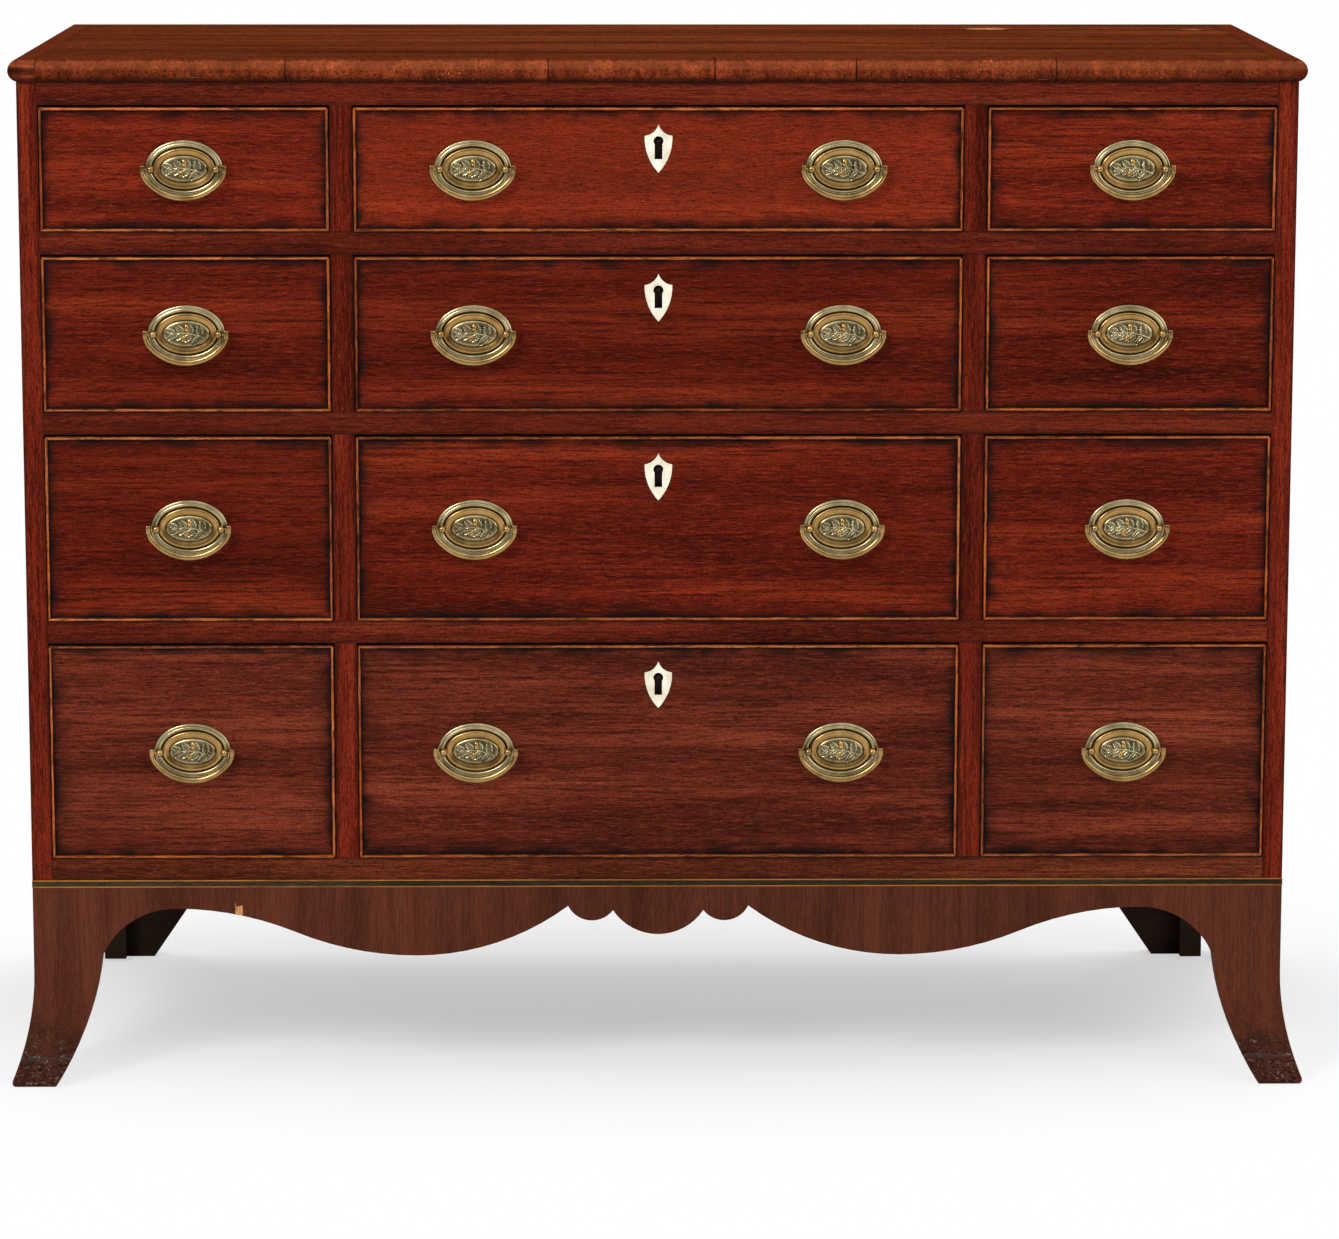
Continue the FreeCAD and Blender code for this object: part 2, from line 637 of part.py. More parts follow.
# Rear brackets and the blocks that stiffen the feet.
apron_inside = half - S.apron_board
bracket = doc.addObject("PartDesign::Body", "rear_foot_right")
drawing = sketch_on(bracket, "XZ_Plane", "rear_foot_outline")
trace(drawing, [(apron_inside - S.rear_toe, 0), (apron_inside, 0), (apron_inside, S.base_height),
                (apron_inside - S.rear_reach, S.base_height)])
pad = bracket.newObject("PartDesign::Pad", "rear_foot_board")
pad.Profile = drawing
bind(pad, "Length", S.rear_board)
place(bracket, 0, back, 0)
node("rear_feet", bracket, mirror("rear_foot_left", bracket))
blocks = []
for end, near_y, lift in (("front", front + S.apron_board, S.block_lift),
                          ("rear", back - S.rear_board - S.block_size, S.rear_block_lift)):
    block = board(f"{end}_right_block", (apron_inside - S.block_size, apron_inside),
                  (near_y, near_y + S.block_size), (lift, S.base_height))
    blocks += [block, mirror(f"{end}_left_block", block)]
node("foot_blocks", *blocks)

# Masters of the brasses, facing the front at the origin.
rings = []
for number, (inset, height) in enumerate(PLATE_RINGS):
    ring = doc.addObject("Part::Ellipse", f"plate_ring{number}")
    bind(ring, "MajorRadius", S.plate_half_width - inset)
    bind(ring, "MinorRadius", S.plate_half_height - inset)
    rings.append(place(ring, 0, -height, 0, TO_FRONT))
pressed = doc.addObject("Part::Loft", "plate_pressed")
pressed.Sections = rings
pressed.Solid = True
pressed.Ruled = True
bores = [rod(f"plate_bore_{side}", S.neck_radius + S.bore_clearance, S.post_reach,
             (x, S.bore_clearance, 0), TO_FRONT)
         for side, x in (("left", -S.post_place), ("right", S.post_place))]
plate = cut("plate_master", pressed, *bores)

ball = doc.addObject("Part::Sphere", "post_ball")
bind(ball, "Radius", S.ball_radius)
place(ball, 0, -S.post_reach, 0)
shank_end = S.front_board + S.nut_height + S.shank_radius
post = cut("post_master",
           fuse("post_turned", ball, rod("post_neck", S.neck_radius, S.post_reach, (0, 0, 0), TO_FRONT),
                rod("post_shank", S.shank_radius, shank_end, (0, shank_end, 0), TO_FRONT)),
           rod("post_pivot_hole", S.pivot_radius + S.pivot_clearance, S.ball_radius * 2,
               (0, -S.post_reach, 0), TO_RIGHT))
nut = cut("nut_master", rod("nut_blank", S.nut_radius, S.nut_height, (0, S.nut_height, 0), TO_FRONT),
          rod("nut_bore", S.shank_radius + S.bore_clearance, S.nut_height, (0, S.nut_height, 0), TO_FRONT))

# Bail: three arcs with upright ears, and a pivot pin into each post.
big_radius = ((S.bail_half_width * S.bail_half_width + S.bail_drop * S.bail_drop
               - S.bail_half_width * S.bail_corner * 2) / ((S.bail_drop - S.bail_corner) * 2))
share = S.bail_corner / (big_radius - S.bail_corner)
bend_x = (S.bail_half_width - S.bail_corner) * (share + 1)
bend_z = -(big_radius - S.bail_drop) * share
path_body = doc.addObject("PartDesign::Body", "bail_path")
path = sketch_on(path_body, "XZ_Plane", "bail_line")
trace(path, [(-S.bail_half_width, S.bail_ear), (-S.bail_half_width, 0), (-bend_x, bend_z, S.bail_corner, 1),
             (bend_x, bend_z, big_radius, 1), (S.bail_half_width, 0, S.bail_corner, 1),
             (S.bail_half_width, S.bail_ear)], closed=False)
section = doc.addObject("Part::Circle", "bail_section")
bind(section, "Radius", S.bail_radius)
place(section, -S.bail_half_width, 0, S.bail_ear)
bar = doc.addObject("Part::Sweep", "bail_bar")
bar.Sections = [section]
bar.Spine = (path, [f"Edge{number}" for number in range(1, 6)])
bar.Solid = True
bar.Frenet = False
pin_end = S.post_place + S.pivot_radius / 2
pins = [rod(f"bail_pin_{side}", S.pivot_radius, S.bail_half_width - pin_end, (x, 0, 0), TO_RIGHT)
        for side, x in (("left", -S.bail_half_width), ("right", pin_end))]
bail = fuse("bail_master", bar, *pins)

# Escutcheon: a shield with its tip at the origin; the same outline is cut out of the drawer front.
shoulder_radius = bow_radius(S.shield_half_width, S.shield_shoulder, S.shield_hollow)
flank_radius = bow_radius(S.shield_half_width, S.shield_height - S.shield_shoulder, S.shield_bow)
shield_body = doc.addObject("PartDesign::Body", "shield_blank")
drawing = sketch_on(shield_body, "XZ_Plane", "shield_outline")
trace(drawing, [(0, 0, shoulder_radius, -1), (-S.shield_half_width, -S.shield_shoulder, shoulder_radius, -1),
                (0, -S.shield_height, flank_radius, 1),
                (S.shield_half_width, -S.shield_shoulder, flank_radius, 1)])
pad = shield_body.newObject("PartDesign::Pad", "shield_thickness")
pad.Profile = drawing
bind(pad, "Length", S.shield_board)
shield_bed = S.shield_board - S.shield_proud
place(shield_body, 0, shield_bed, 0)
keyhole = fuse("keyhole_waste",
               rod("keyhole_round", S.key_radius, S.front_board * 2,
                   (0, S.front_board, -S.key_drop), TO_FRONT),
               board("keyhole_slot", (-S.key_slot, S.key_slot), (-S.front_board, S.front_board),
                     (-S.key_drop - S.key_length, -S.key_drop)))
shield = cut("shield_master", shield_body, keyhole)

# Lock, with the inner face and top edge of the drawer front at the origin.
bolt_y = -S.lock_depth / 2
case_x = (-S.lock_half_width, S.lock_half_width)
case_z = (-S.lock_height, 0)
flange_x = (-S.lock_half_width - S.lock_flange, S.lock_half_width + S.lock_flange)
key_level = S.drawer_top_gap - S.shield_drop - S.key_drop
lock_case = cut("lock_master",
                fuse("lock_case", board("lock_box", case_x, (-S.lock_depth, 0), case_z),
                     board("lock_plate_board", flange_x, (0, S.lock_plate),
                           (-S.lock_height - S.lock_flange, -S.side_drop)),
                     rod("lock_drill_pin", S.drill_pin, S.lock_depth,
                         (0, -S.lock_depth, key_level), TO_FRONT)),
                board("lock_slot", (-S.bolt_half_width - S.bolt_slack, S.bolt_half_width + S.bolt_slack),
                      (bolt_y - S.bolt_depth / 2 - S.bolt_slack, bolt_y + S.bolt_depth / 2 + S.bolt_slack),
                      (-S.bolt_height, 0)))


def drawer(number, column):
    """One drawer with its brasses, bails and, in the middle column, its lock and escutcheon."""
    label = f"row{number}_{column}"
    (near, far), (floor, ceiling) = columns[column], rows[number]
    left, right = near + S.drawer_side_gap, far - S.drawer_side_gap
    low, high = floor + S.drawer_lift, ceiling - S.drawer_top_gap
    bed = front + S.bead_bed
    end = front + S.drawer_length
    side_top = high - S.side_drop
    panel = (low + S.bottom_lift, low + S.bottom_lift + S.bottom_board)
    side_spans = {"left": (left, left + S.drawer_side), "right": (right - S.drawer_side, right)}
    inside = (left + S.drawer_side, right - S.drawer_side)

    blank = fuse(f"{label}_blank",
                 board(f"{label}_core", (left, right), (bed, inside_front), (low, high)),
                 board(f"{label}_face", (left + S.bead_width, right - S.bead_width), (front, bed),
                       (low + S.bead_width, high - S.bead_width)))
    waste = [board(f"{label}_front_groove", inside, (inside_front - S.bottom_tongue, inside_front), panel)]

    sides = []
    tails = max(2, round(getattr(S, f"row{number}_height").number / S.tail_pitch.number))
    pitch = (side_top - low) / tails
    tip = pitch - S.pin_width
    splay = S.tail_length / DOVETAIL_SLOPE
    for side, span in side_spans.items():
        joints = [wedge(f"{label}_{side}_tail{order}", ((0, S.drawer_side), (0, tip)),
                        ((0, S.drawer_side), (splay, tip - splay)), S.tail_length,
                        (span[0], inside_front - S.tail_length, low + pitch * order + S.pin_width / 2))
                  for order in range(tails)]
        waste += joints
        groove = (span[0], span[0] + S.bottom_tongue)
        if side == "left":
            groove = (span[1] - S.bottom_tongue, span[1])
        plain = board(f"{label}_{side}_board", span, (inside_front, end), (low, side_top))
        sides.append(cut(f"{label}_{side}_side", fuse(f"{label}_{side}_tailed", plain, *joints),
                         board(f"{label}_{side}_groove", groove, (inside_front, end), panel)))

    middle_x, middle_z = (near + far) / 2, (floor + ceiling) / 2
    handles = {"": middle_x} if column != "centre" else {"_left": -S.handle_place, "_right": S.handle_place}
    brasses = []
    for suffix, x in handles.items():
        brasses.append(copy_of(f"plate_{label}{suffix}", plate, x, front, middle_z))
        for side, post_x, turn in (("left", x - S.post_place, TURN_BACK),
                                   ("right", x + S.post_place, NO_TURN)):
            waste.append(rod(f"{label}{suffix}_{side}_bore", S.shank_radius + S.bore_clearance, S.front_board,
                             (post_x, inside_front, middle_z), TO_FRONT))
            brasses.append(copy_of(f"post_{label}{suffix}_{side}", post, post_x, front, middle_z, turn))
            brasses.append(copy_of(f"nut_{label}{suffix}_{side}", nut, post_x, inside_front, middle_z))
        node(f"bail_{label}{suffix}",
             copy_of(f"bail_copy_{label}{suffix}", bail, x, front - S.post_reach, middle_z))

    if column == "centre":
        tip_level = ceiling - S.shield_drop
        node(f"escutcheon_row{number}", copy_of(f"shield_{label}", shield, 0, front, tip_level))
        brasses += [copy_of(f"lock_{label}", lock_case, 0, inside_front, high),
                    board(f"bolt_{label}", (-S.bolt_half_width, S.bolt_half_width),
                          (bolt_place - S.bolt_depth / 2, bolt_place + S.bolt_depth / 2),
                          (high - S.bolt_height, high))]
        waste += [copy_of(f"shield_bed_{label}", shield_body, 0, front + shield_bed, tip_level),
                  copy_of(f"keyhole_{label}", keyhole, 0, front, tip_level),
                  board(f"{label}_lock_bed", case_x, (inside_front - S.lock_depth, inside_front),
                        (high - S.lock_height, high))]

    bottom = fuse(f"{label}_bottom",
                  board(f"{label}_bottom_board", (inside[0] - S.bottom_tongue, inside[1] + S.bottom_tongue),
                        (inside_front, end), panel),
                  board(f"{label}_bottom_lip", inside, (inside_front - S.bottom_tongue, inside_front), panel))
    rear = board(f"{label}_back", inside, (end - S.drawer_side, end), (panel[1], side_top - S.rear_drop))

    wide, tall, thick = right - left, high - low, S.bead_width
    deep = (0, S.bead_bed + S.bead_proud)
    long_x, short_x = (0, wide), (thick, wide - thick)
    long_z, short_z = (0, tall), (thick, tall - thick)
    beads = [wedge(f"{label}_bead_bottom", (long_x, deep), (short_x, deep), thick,
                   (left, bed, low), TO_FRONT),
             wedge(f"{label}_bead_top", (short_x, deep), (long_x, deep), thick,
                   (left, bed, high - thick), TO_FRONT),
             wedge(f"{label}_bead_left", (deep, long_z), (deep, short_z), thick,
                   (left, bed, low), EDGE_RIGHT),
             wedge(f"{label}_bead_right", (deep, short_z), (deep, long_z), thick,
                   (right - thick, bed, low), EDGE_RIGHT)]
    node(f"drawer_{label}", cut(f"{label}_front", blank, *waste), *sides, rear, bottom, *beads)
    node(f"brasses_{label}", *brasses)


for row_number in (1, 2, 3, 4):
    for column_name in columns:
        drawer(row_number, column_name)

doc.recompute()
faults = [thing.Name for thing in doc.Objects if "Invalid" in thing.State or "Error" in thing.State]
faults += [group.Label for group in nodes if group.Shape.isNull() or not group.Shape.isValid()]
if faults:
    raise RuntimeError(f"not sound: {faults}")
os.makedirs("parts", exist_ok=True)
for group in nodes:
    group.Shape.exportStep(f"parts/{group.Label}.step")
    print(group.Label, len(group.Shape.Solids), "solids", round(group.Shape.Volume / 1000), "cm3")
print(len(nodes), "sub-parts")
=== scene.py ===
# %% [markdown]
# # Dressing a mahogany chest of twelve drawers
# The packed CAD model gives every board, brass and joint its place. This lesson turns its
# plain solids into polished mahogany, worn beads, pressed brass and bone, without moving a
# single part. Everything is in metres; X runs to the right, the drawers face -Y and Z is up.

# %% Load the packed model
import json
import math
import random
from collections import Counter

import bmesh
import bpy
from mathutils import Matrix, Vector

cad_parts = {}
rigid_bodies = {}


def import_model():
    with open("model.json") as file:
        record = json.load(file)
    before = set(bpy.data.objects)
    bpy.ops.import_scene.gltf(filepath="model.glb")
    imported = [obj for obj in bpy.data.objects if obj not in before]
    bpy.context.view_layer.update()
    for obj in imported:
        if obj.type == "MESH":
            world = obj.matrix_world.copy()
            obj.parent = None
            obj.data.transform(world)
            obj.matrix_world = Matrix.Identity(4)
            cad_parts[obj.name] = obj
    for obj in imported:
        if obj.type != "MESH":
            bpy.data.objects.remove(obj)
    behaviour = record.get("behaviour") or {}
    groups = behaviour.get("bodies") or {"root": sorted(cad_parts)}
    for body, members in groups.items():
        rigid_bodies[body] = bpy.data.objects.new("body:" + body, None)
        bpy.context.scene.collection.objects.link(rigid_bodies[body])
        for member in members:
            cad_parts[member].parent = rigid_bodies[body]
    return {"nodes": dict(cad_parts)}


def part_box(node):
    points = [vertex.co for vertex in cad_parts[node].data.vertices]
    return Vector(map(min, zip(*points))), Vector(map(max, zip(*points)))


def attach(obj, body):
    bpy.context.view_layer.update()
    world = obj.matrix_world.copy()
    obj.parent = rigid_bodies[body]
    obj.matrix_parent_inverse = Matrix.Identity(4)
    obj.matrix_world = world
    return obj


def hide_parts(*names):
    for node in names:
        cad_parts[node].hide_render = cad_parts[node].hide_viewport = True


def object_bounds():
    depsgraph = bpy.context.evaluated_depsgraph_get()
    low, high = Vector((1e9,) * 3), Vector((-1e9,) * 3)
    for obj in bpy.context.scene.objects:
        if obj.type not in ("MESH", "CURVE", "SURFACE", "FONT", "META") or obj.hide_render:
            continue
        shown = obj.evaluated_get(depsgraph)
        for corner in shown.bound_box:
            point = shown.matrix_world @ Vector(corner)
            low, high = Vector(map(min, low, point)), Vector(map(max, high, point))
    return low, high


for startup_object in list(bpy.data.objects):
    bpy.data.objects.remove(startup_object)
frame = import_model()
cad_low, cad_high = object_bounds()
MM = 0.001
dice = random.Random(1790)

# %% [markdown]
# ## From triangles back to boards
# A CAD node arrives as a loose list of triangles, and boards that touch share corner
# positions, so welding the whole node would glue a drawer's front to its sides. The
# triangles do come board by board, though, and a board is a closed skin: while it is
# incomplete some edge has only one face. Reading the list and cutting it whenever no edge
# is left open gives the boards back. Flat faces are then made whole, which is what the
# bevels later need.

# %% Split a node into its boards
SAME_PLACE = 0.001 * MM
FLAT_ANGLE = math.radians(0.2)


def weld(corners, rings):
    """One board as a bmesh with shared corners and whole flat faces."""
    board = bmesh.new()
    made = {}
    for ring in rings:
        for corner in ring:
            if corner not in made:
                made[corner] = board.verts.new(corners[corner])
        if len(set(ring)) == 3:
            board.faces.new([made[corner] for corner in ring])
    bmesh.ops.dissolve_limit(board, angle_limit=FLAT_ANGLE, verts=board.verts, edges=board.edges)
    return board


def boards_of(node_name):
    """The boards of a CAD node, in the order they were put in it."""
    mesh = frame["nodes"][node_name].data
    number_at = {}
    corners = []
    numbers = []
    for vertex in mesh.vertices:
        key = tuple(round(value / SAME_PLACE) for value in vertex.co)
        if key not in number_at:
            number_at[key] = len(corners)
            corners.append(vertex.co.copy())
        numbers.append(number_at[key])
    boards, rings, unmatched, left_open = [], [], Counter(), 0
    for triangle in mesh.polygons:
        ring = [numbers[v] for v in triangle.vertices]
        rings.append(ring)
        for start, end in zip(ring, ring[1:] + ring[:1]):
            if start == end:
                continue
            if unmatched[end, start]:
                unmatched[end, start] -= 1
                left_open -= 1
            else:
                unmatched[start, end] += 1
                left_open += 1
        if left_open == 0:
            boards.append(weld(corners, rings))
            rings = []
    return boards


def box_of(board):
    """Lowest and highest corner of a board."""
    by_axis = list(zip(*(vertex.co for vertex in board.verts)))
    return Vector([min(values) for values in by_axis]), Vector([max(values) for values in by_axis])


print("a drawer has", len(boards_of("drawer_row1_left")), "boards")

# %% [markdown]
# ## One function for every piece
# A finished piece is an ordinary mesh object at the origin. Each board in it keeps a tone of
# its own, stored as a point attribute, so that the wood shaders can give two neighbouring
# boards different grain. Two more attributes say where a point lies from the middle of its
# board and how large half the board is: the shaders find a board's edges with them. A bevel
# modifier rounds the arrises, because no real edge is perfectly sharp and the rounded edge
# is what catches the light.

# %% Build a piece from boards
TONES = (0.15, 0.6)
ARRIS_ANGLE = math.radians(40)


def make_piece(name, body, parts, replaced=(), arris=0.5 * MM, smooth=30, tone=None):
    """One object from (board, finish) pairs that rides on a body and stands for CAD nodes."""
    corners, rings, finish_numbers, finishes = [], [], [], []
    floats = {"board_tone": [], "hollow": [], "silver": []}
    vectors = {"board_place": [], "board_half": []}
    for board, finish in parts:
        if finish not in finishes:
            finishes.append(finish)
        start = len(corners)
        board.verts.index_update()
        low, high = box_of(board)
        corners += [vertex.co.copy() for vertex in board.verts]
        floats["board_tone"] += [dice.uniform(*TONES) if tone is None else tone] * len(board.verts)
        for layer_name in ("hollow", "silver"):
            layer = board.verts.layers.float.get(layer_name)
            floats[layer_name] += [vertex[layer] if layer else 0.0 for vertex in board.verts]
        for vertex in board.verts:
            vectors["board_place"].extend(vertex.co - (low + high) / 2)
            vectors["board_half"].extend((high - low) / 2)
        for face in board.faces:
            rings.append([start + vertex.index for vertex in face.verts])
            finish_numbers.append(finishes.index(finish))
        board.free()
    mesh = bpy.data.meshes.new(name)
    mesh.from_pydata(corners, [], rings)
    for label, values in floats.items():
        mesh.attributes.new(label, "FLOAT", "POINT").data.foreach_set("value", values)
    for label, values in vectors.items():
        mesh.attributes.new(label, "FLOAT_VECTOR", "POINT").data.foreach_set("vector", values)
    for finish in finishes:
        mesh.materials.append(finish)
    mesh.polygons.foreach_set("material_index", finish_numbers)
    return place_piece(name, body, mesh, replaced, arris, smooth)


def place_piece(name, body, mesh, replaced=(), arris=0.0, smooth=30):
    """Links a mesh as an object, softens its arrises and ties it to its body."""
    mesh.shade_smooth()
    mesh.set_sharp_from_angle(angle=math.radians(smooth))
    piece = bpy.data.objects.new(name, mesh)
    bpy.context.collection.objects.link(piece)
    if arris:
        bevel = piece.modifiers.new("arris", "BEVEL")
        bevel.width = arris
        bevel.segments = 2
        bevel.limit_method = "ANGLE"
        bevel.angle_limit = ARRIS_ANGLE
        bevel.harden_normals = True
    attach(piece, body)
    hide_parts(*replaced)
    return piece


print("tones of the boards", TONES)

# %% [markdown]
# ## A small workbench for materials
# Shader nodes are quick to wire by hand but long-winded in code. A class keeps one material
# while it is being built: its methods add nodes and hand back an output, so a finish reads
# like a recipe. The functions that add a node and feed its inputs stand outside the class,
# because a material, the world and a Geometry Nodes tree all take nodes in the same way.
# Colours are written as the 0-255 values of a colour picker and turned into the linear
# values that shaders work in.

# %% Colours and nodes
def paint(red, green, blue):
    """A screen colour as the linear colour of a shader socket."""
    shares = [value / 255 for value in (red, green, blue)]
    return (*[s / 12.92 if s <= 0.04045 else ((s + 0.055) / 1.055) ** 2.4 for s in shares], 1.0)


def feed(tree, socket, value):
    """Links an output to a socket, or sets the socket to a plain value."""
    if isinstance(value, bpy.types.NodeSocket):
        tree.links.new(value, socket)
    else:
        socket.default_value = value


def step(tree, kind, inputs=None, output=0, **settings):
    """Adds one node, feeds its inputs and gives back one output."""
    node = tree.nodes.new(kind)
    for key, value in settings.items():
        setattr(node, key, value)
    for key, value in (inputs or {}).items():
        feed(tree, node.inputs[key], value)
    return node.outputs[output]


def reckon(tree, operation, *values):
    """Adds one sum to a tree."""
    return step(tree, "ShaderNodeMath", dict(enumerate(values)), operation=operation)


print("white", paint(255, 255, 255), "black", paint(0, 0, 0))

# %% A finish under construction
class Finish:
    """A material under construction; colour, gloss and relief end up on its shader."""

    def __init__(self, name):
        self.material = bpy.data.materials.new(name)
        self.material.use_nodes = True
        self.tree = self.material.node_tree
        self.shader = self.tree.nodes["Principled BSDF"]
        self.place = self.add("ShaderNodeTexCoord", "Object")

    def add(self, kind, output=0, inputs=None, **settings):
        return step(self.tree, kind, inputs, output, **settings)

    def attribute(self, name, output="Fac"):
        return self.add("ShaderNodeAttribute", output, attribute_name=name)

    def calc(self, operation, *values):
        return reckon(self.tree, operation, *values)

    def span(self, value, low, high, to_low=0.0, to_high=1.0):
        """Carries a range of values over to another range and stops at its ends."""
        ends = {"Value": value, "From Min": low, "From Max": high, "To Min": to_low, "To Max": to_high}
        return self.add("ShaderNodeMapRange", "Result", ends, interpolation_type="SMOOTHSTEP")

    def stretch(self, along, across, grain, turn=0.0):
        """Coordinates whose pattern is drawn out along the grain."""
        scale = [along if axis == grain else across for axis in "XYZ"]
        return self.add("ShaderNodeMapping", 0, {"Vector": self.place, "Scale": scale,
                                                 "Rotation": (turn, turn, turn)})

    def noise(self, vector, seed, detail, distortion=0.0):
        inputs = {"Vector": vector, "W": seed, "Scale": 1.0, "Detail": detail, "Distortion": distortion}
        return self.add("ShaderNodeTexNoise", 0, inputs, noise_dimensions="4D")

    def ramp(self, value, *stops):
        """Turns values into colours; the first two stops are a ramp's own, the others are new."""
        ramped = self.add("ShaderNodeValToRGB", "Color", {"Fac": value})
        elements = ramped.node.color_ramp.elements
        for number, (place, colour) in enumerate(stops):
            stop = elements[number] if number < 2 else elements.new(place)
            stop.position = place
            stop.color = colour
        return ramped

    def mix(self, share, first, second):
        return self.add("ShaderNodeMix", 2, {0: share, 6: first, 7: second}, data_type="RGBA")

    def shade(self, colour, value):
        """Makes a colour lighter or darker by a factor."""
        return self.add("ShaderNodeHueSaturation", 0, {"Color": colour, "Value": value})

    def split(self, vector):
        return self.add("ShaderNodeSeparateXYZ", 0, {0: vector}).node.outputs

    def edge_distance(self, axes):
        """Distance of a point to the nearest edge of its board, seen across two axes."""
        place = self.split(self.attribute("board_place", "Vector"))
        half = self.split(self.attribute("board_half", "Vector"))
        gaps = [self.calc("SUBTRACT", half[axis], self.calc("ABSOLUTE", place[axis])) for axis in axes]
        return self.calc("MINIMUM", *gaps)

    def close(self, colour, gloss, relief, depth, **constants):
        """Wires the finished recipe to the shader; constants go on its own sockets."""
        bump = self.add("ShaderNodeBump", 0, {"Height": relief, "Distance": depth, "Strength": 1.0})
        wires = {"Base_Color": colour, "Roughness": gloss, "Normal": bump, **constants}
        for socket, value in wires.items():
            feed(self.tree, self.shader.inputs[socket.replace("_", " ")], value)
        return self.material


print("steps of a finish", [name for name in vars(Finish) if not name.startswith("_")])

# %% [markdown]
# ## Mahogany
# Old mahogany shows five things at once: broad bands of light and dark, thin streaks, light
# flecks, short dark pores that crowd together like pencil dashes, and a cloudy patina under
# the polish. Each is a noise whose coordinates are drawn out along the grain, at its real
# size, so one recipe serves every board once it is told which way the grain runs. Image
# textures would be simpler but would repeat from board to board. More methods age the wood:
# stains, dirt that runs in from the edges, scuffs, a fine mottle, and spots where the polish
# has broken away.

# %% The wood recipe
# How often a pattern repeats in a metre, along the grain and across it.
BANDS, LINES, PATINA = (2.0, 34.0), (12.0, 420.0), (3.0, 7.0)
PORES, CROWDS, FLECKS = (260.0, 3200.0), (70.0, 1500.0), (90.0, 1500.0)
SEED_SPREAD, PORE_SHADE, PORE_DEPTH = 47.0, 0.4, 0.1 * MM


class Wood(Finish):
    """Grain, streaks, pores and patina for boards whose fibres run along one axis."""

    def __init__(self, name, grain, deep, middle, warm, streak=0.8, pore=0.8):
        super().__init__(name)
        self.grain = grain
        tone = self.attribute("board_tone")
        self.seed = self.calc("MULTIPLY", tone, SEED_SPREAD)
        bands = self.noise(self.stretch(*BANDS, grain), self.seed, 5.0, distortion=0.4)
        lines = self.noise(self.stretch(*LINES, grain), self.seed, 4.0)
        pores = self.noise(self.stretch(*PORES, grain), self.seed, 1.0)
        crowds = self.noise(self.stretch(*CROWDS, grain), self.calc("ADD", self.seed, 3.0), 2.0)
        flecks = self.noise(self.stretch(*FLECKS, grain), self.calc("ADD", self.seed, 5.0), 3.0)
        self.cloud = self.noise(self.stretch(*PATINA, grain), self.seed, 3.0)
        self.colour = self.ramp(bands, (0.28, paint(*deep)), (0.72, paint(*warm)), (0.50, paint(*middle)))
        self.stain(self.span(lines, 0.45, 0.66, 0.0, streak), deep)
        self.stain(self.span(flecks, 0.50, 0.65, 0.0, 0.55), warm)
        self.stain(self.span(tone, 0.5, 1.0, 0.0, 0.35), warm)
        dashes = self.calc("MULTIPLY", self.span(pores, 0.42, 0.58), self.span(crowds, 0.45, 0.58))
        self.stain(self.calc("MULTIPLY", dashes, pore), [value * PORE_SHADE for value in deep])
        light = self.calc("ADD", self.span(self.cloud, 0.25, 0.75, 0.92, 1.16),
                          self.span(tone, 0.0, 1.0, -0.12, 0.34))
        self.colour = self.shade(self.colour, light)
        self.gloss = self.span(self.cloud, 0.3, 0.7, 0.30, 0.42)
        self.relief = self.calc("SUBTRACT", lines, dashes)

    def stain(self, share, colour):
        """Lays a colour over the wood, by a share that may change from place to place."""
        self.colour = self.mix(share, self.colour, paint(*colour))

    def darken_edges(self, axes, reach, share, colour):
        """Darkens a board towards its edges, with a ragged border: old wax and dirt, and on the framing
        partly painted shade.
        """
        wander = self.noise(self.stretch(30.0, 60.0, self.grain), self.seed, 4.0)
        border = self.span(wander, 0.3, 0.7, -0.3 * reach, 0.3 * reach)
        inward = self.calc("ADD", self.edge_distance(axes), border)
        edge_darkening = self.span(inward, 0.0, reach, share, 0.0)
        self.stain(edge_darkening, colour)
        self.gloss = self.calc("ADD", self.gloss, self.calc("MULTIPLY", edge_darkening, 0.2))

    def scuff(self, share, colour):
        """Adds sparse light specks and faint scratches across the grain."""
        scratch = self.noise(self.stretch(900.0, 40.0, self.grain, turn=0.6), self.seed, 2.0)
        specks = self.noise(self.stretch(640.0, 640.0, self.grain), self.seed, 1.0)
        marks = self.calc("MAXIMUM", self.span(scratch, 0.68, 0.76, 0.0, 0.4),
                          self.span(specks, 0.70, 0.76))
        patches = self.span(self.cloud, 0.45, 0.65, 0.15, 1.0)
        self.stain(self.calc("MULTIPLY", self.calc("MULTIPLY", marks, patches), share), colour)

    def speckle(self, scale, low, high):
        """Mottles the colour with small spots of another brightness."""
        spots = self.noise(self.stretch(scale, scale, self.grain), self.seed, 4.0)
        self.colour = self.shade(self.colour, self.span(spots, 0.36, 0.64, low, high))

    def bare_spot(self, middle, half, pale, rim):
        """Breaks the polish open at one place, down to pale wood with a darker rim."""
        scale = [1 / size for size in half]
        place = self.add("ShaderNodeMapping", 0, {
            "Vector": self.place, "Scale": scale,
            "Location": [-shift * factor for shift, factor in zip(middle, scale)]})
        distance = self.add("ShaderNodeVectorMath", "Value", {0: place}, operation="LENGTH")
        splinters = self.noise(self.stretch(70.0, 260.0, self.grain), self.seed, 3.0, distortion=0.5)
        edge = self.calc("ADD", distance, self.span(splinters, 0.3, 0.7, -0.7, 0.7))
        bare = self.ramp(edge, (0.8, paint(*pale)), (1.0, paint(*rim)))
        self.colour = self.mix(self.span(edge, 0.95, 1.1, 1.0, 0.0), self.colour, bare)

    def polish(self, level=0.03):
        """Finishes the wood; level is how much of a shine the polish has kept."""
        return self.close(self.colour, self.gloss, self.relief, PORE_DEPTH, Specular_IOR_Level=level)


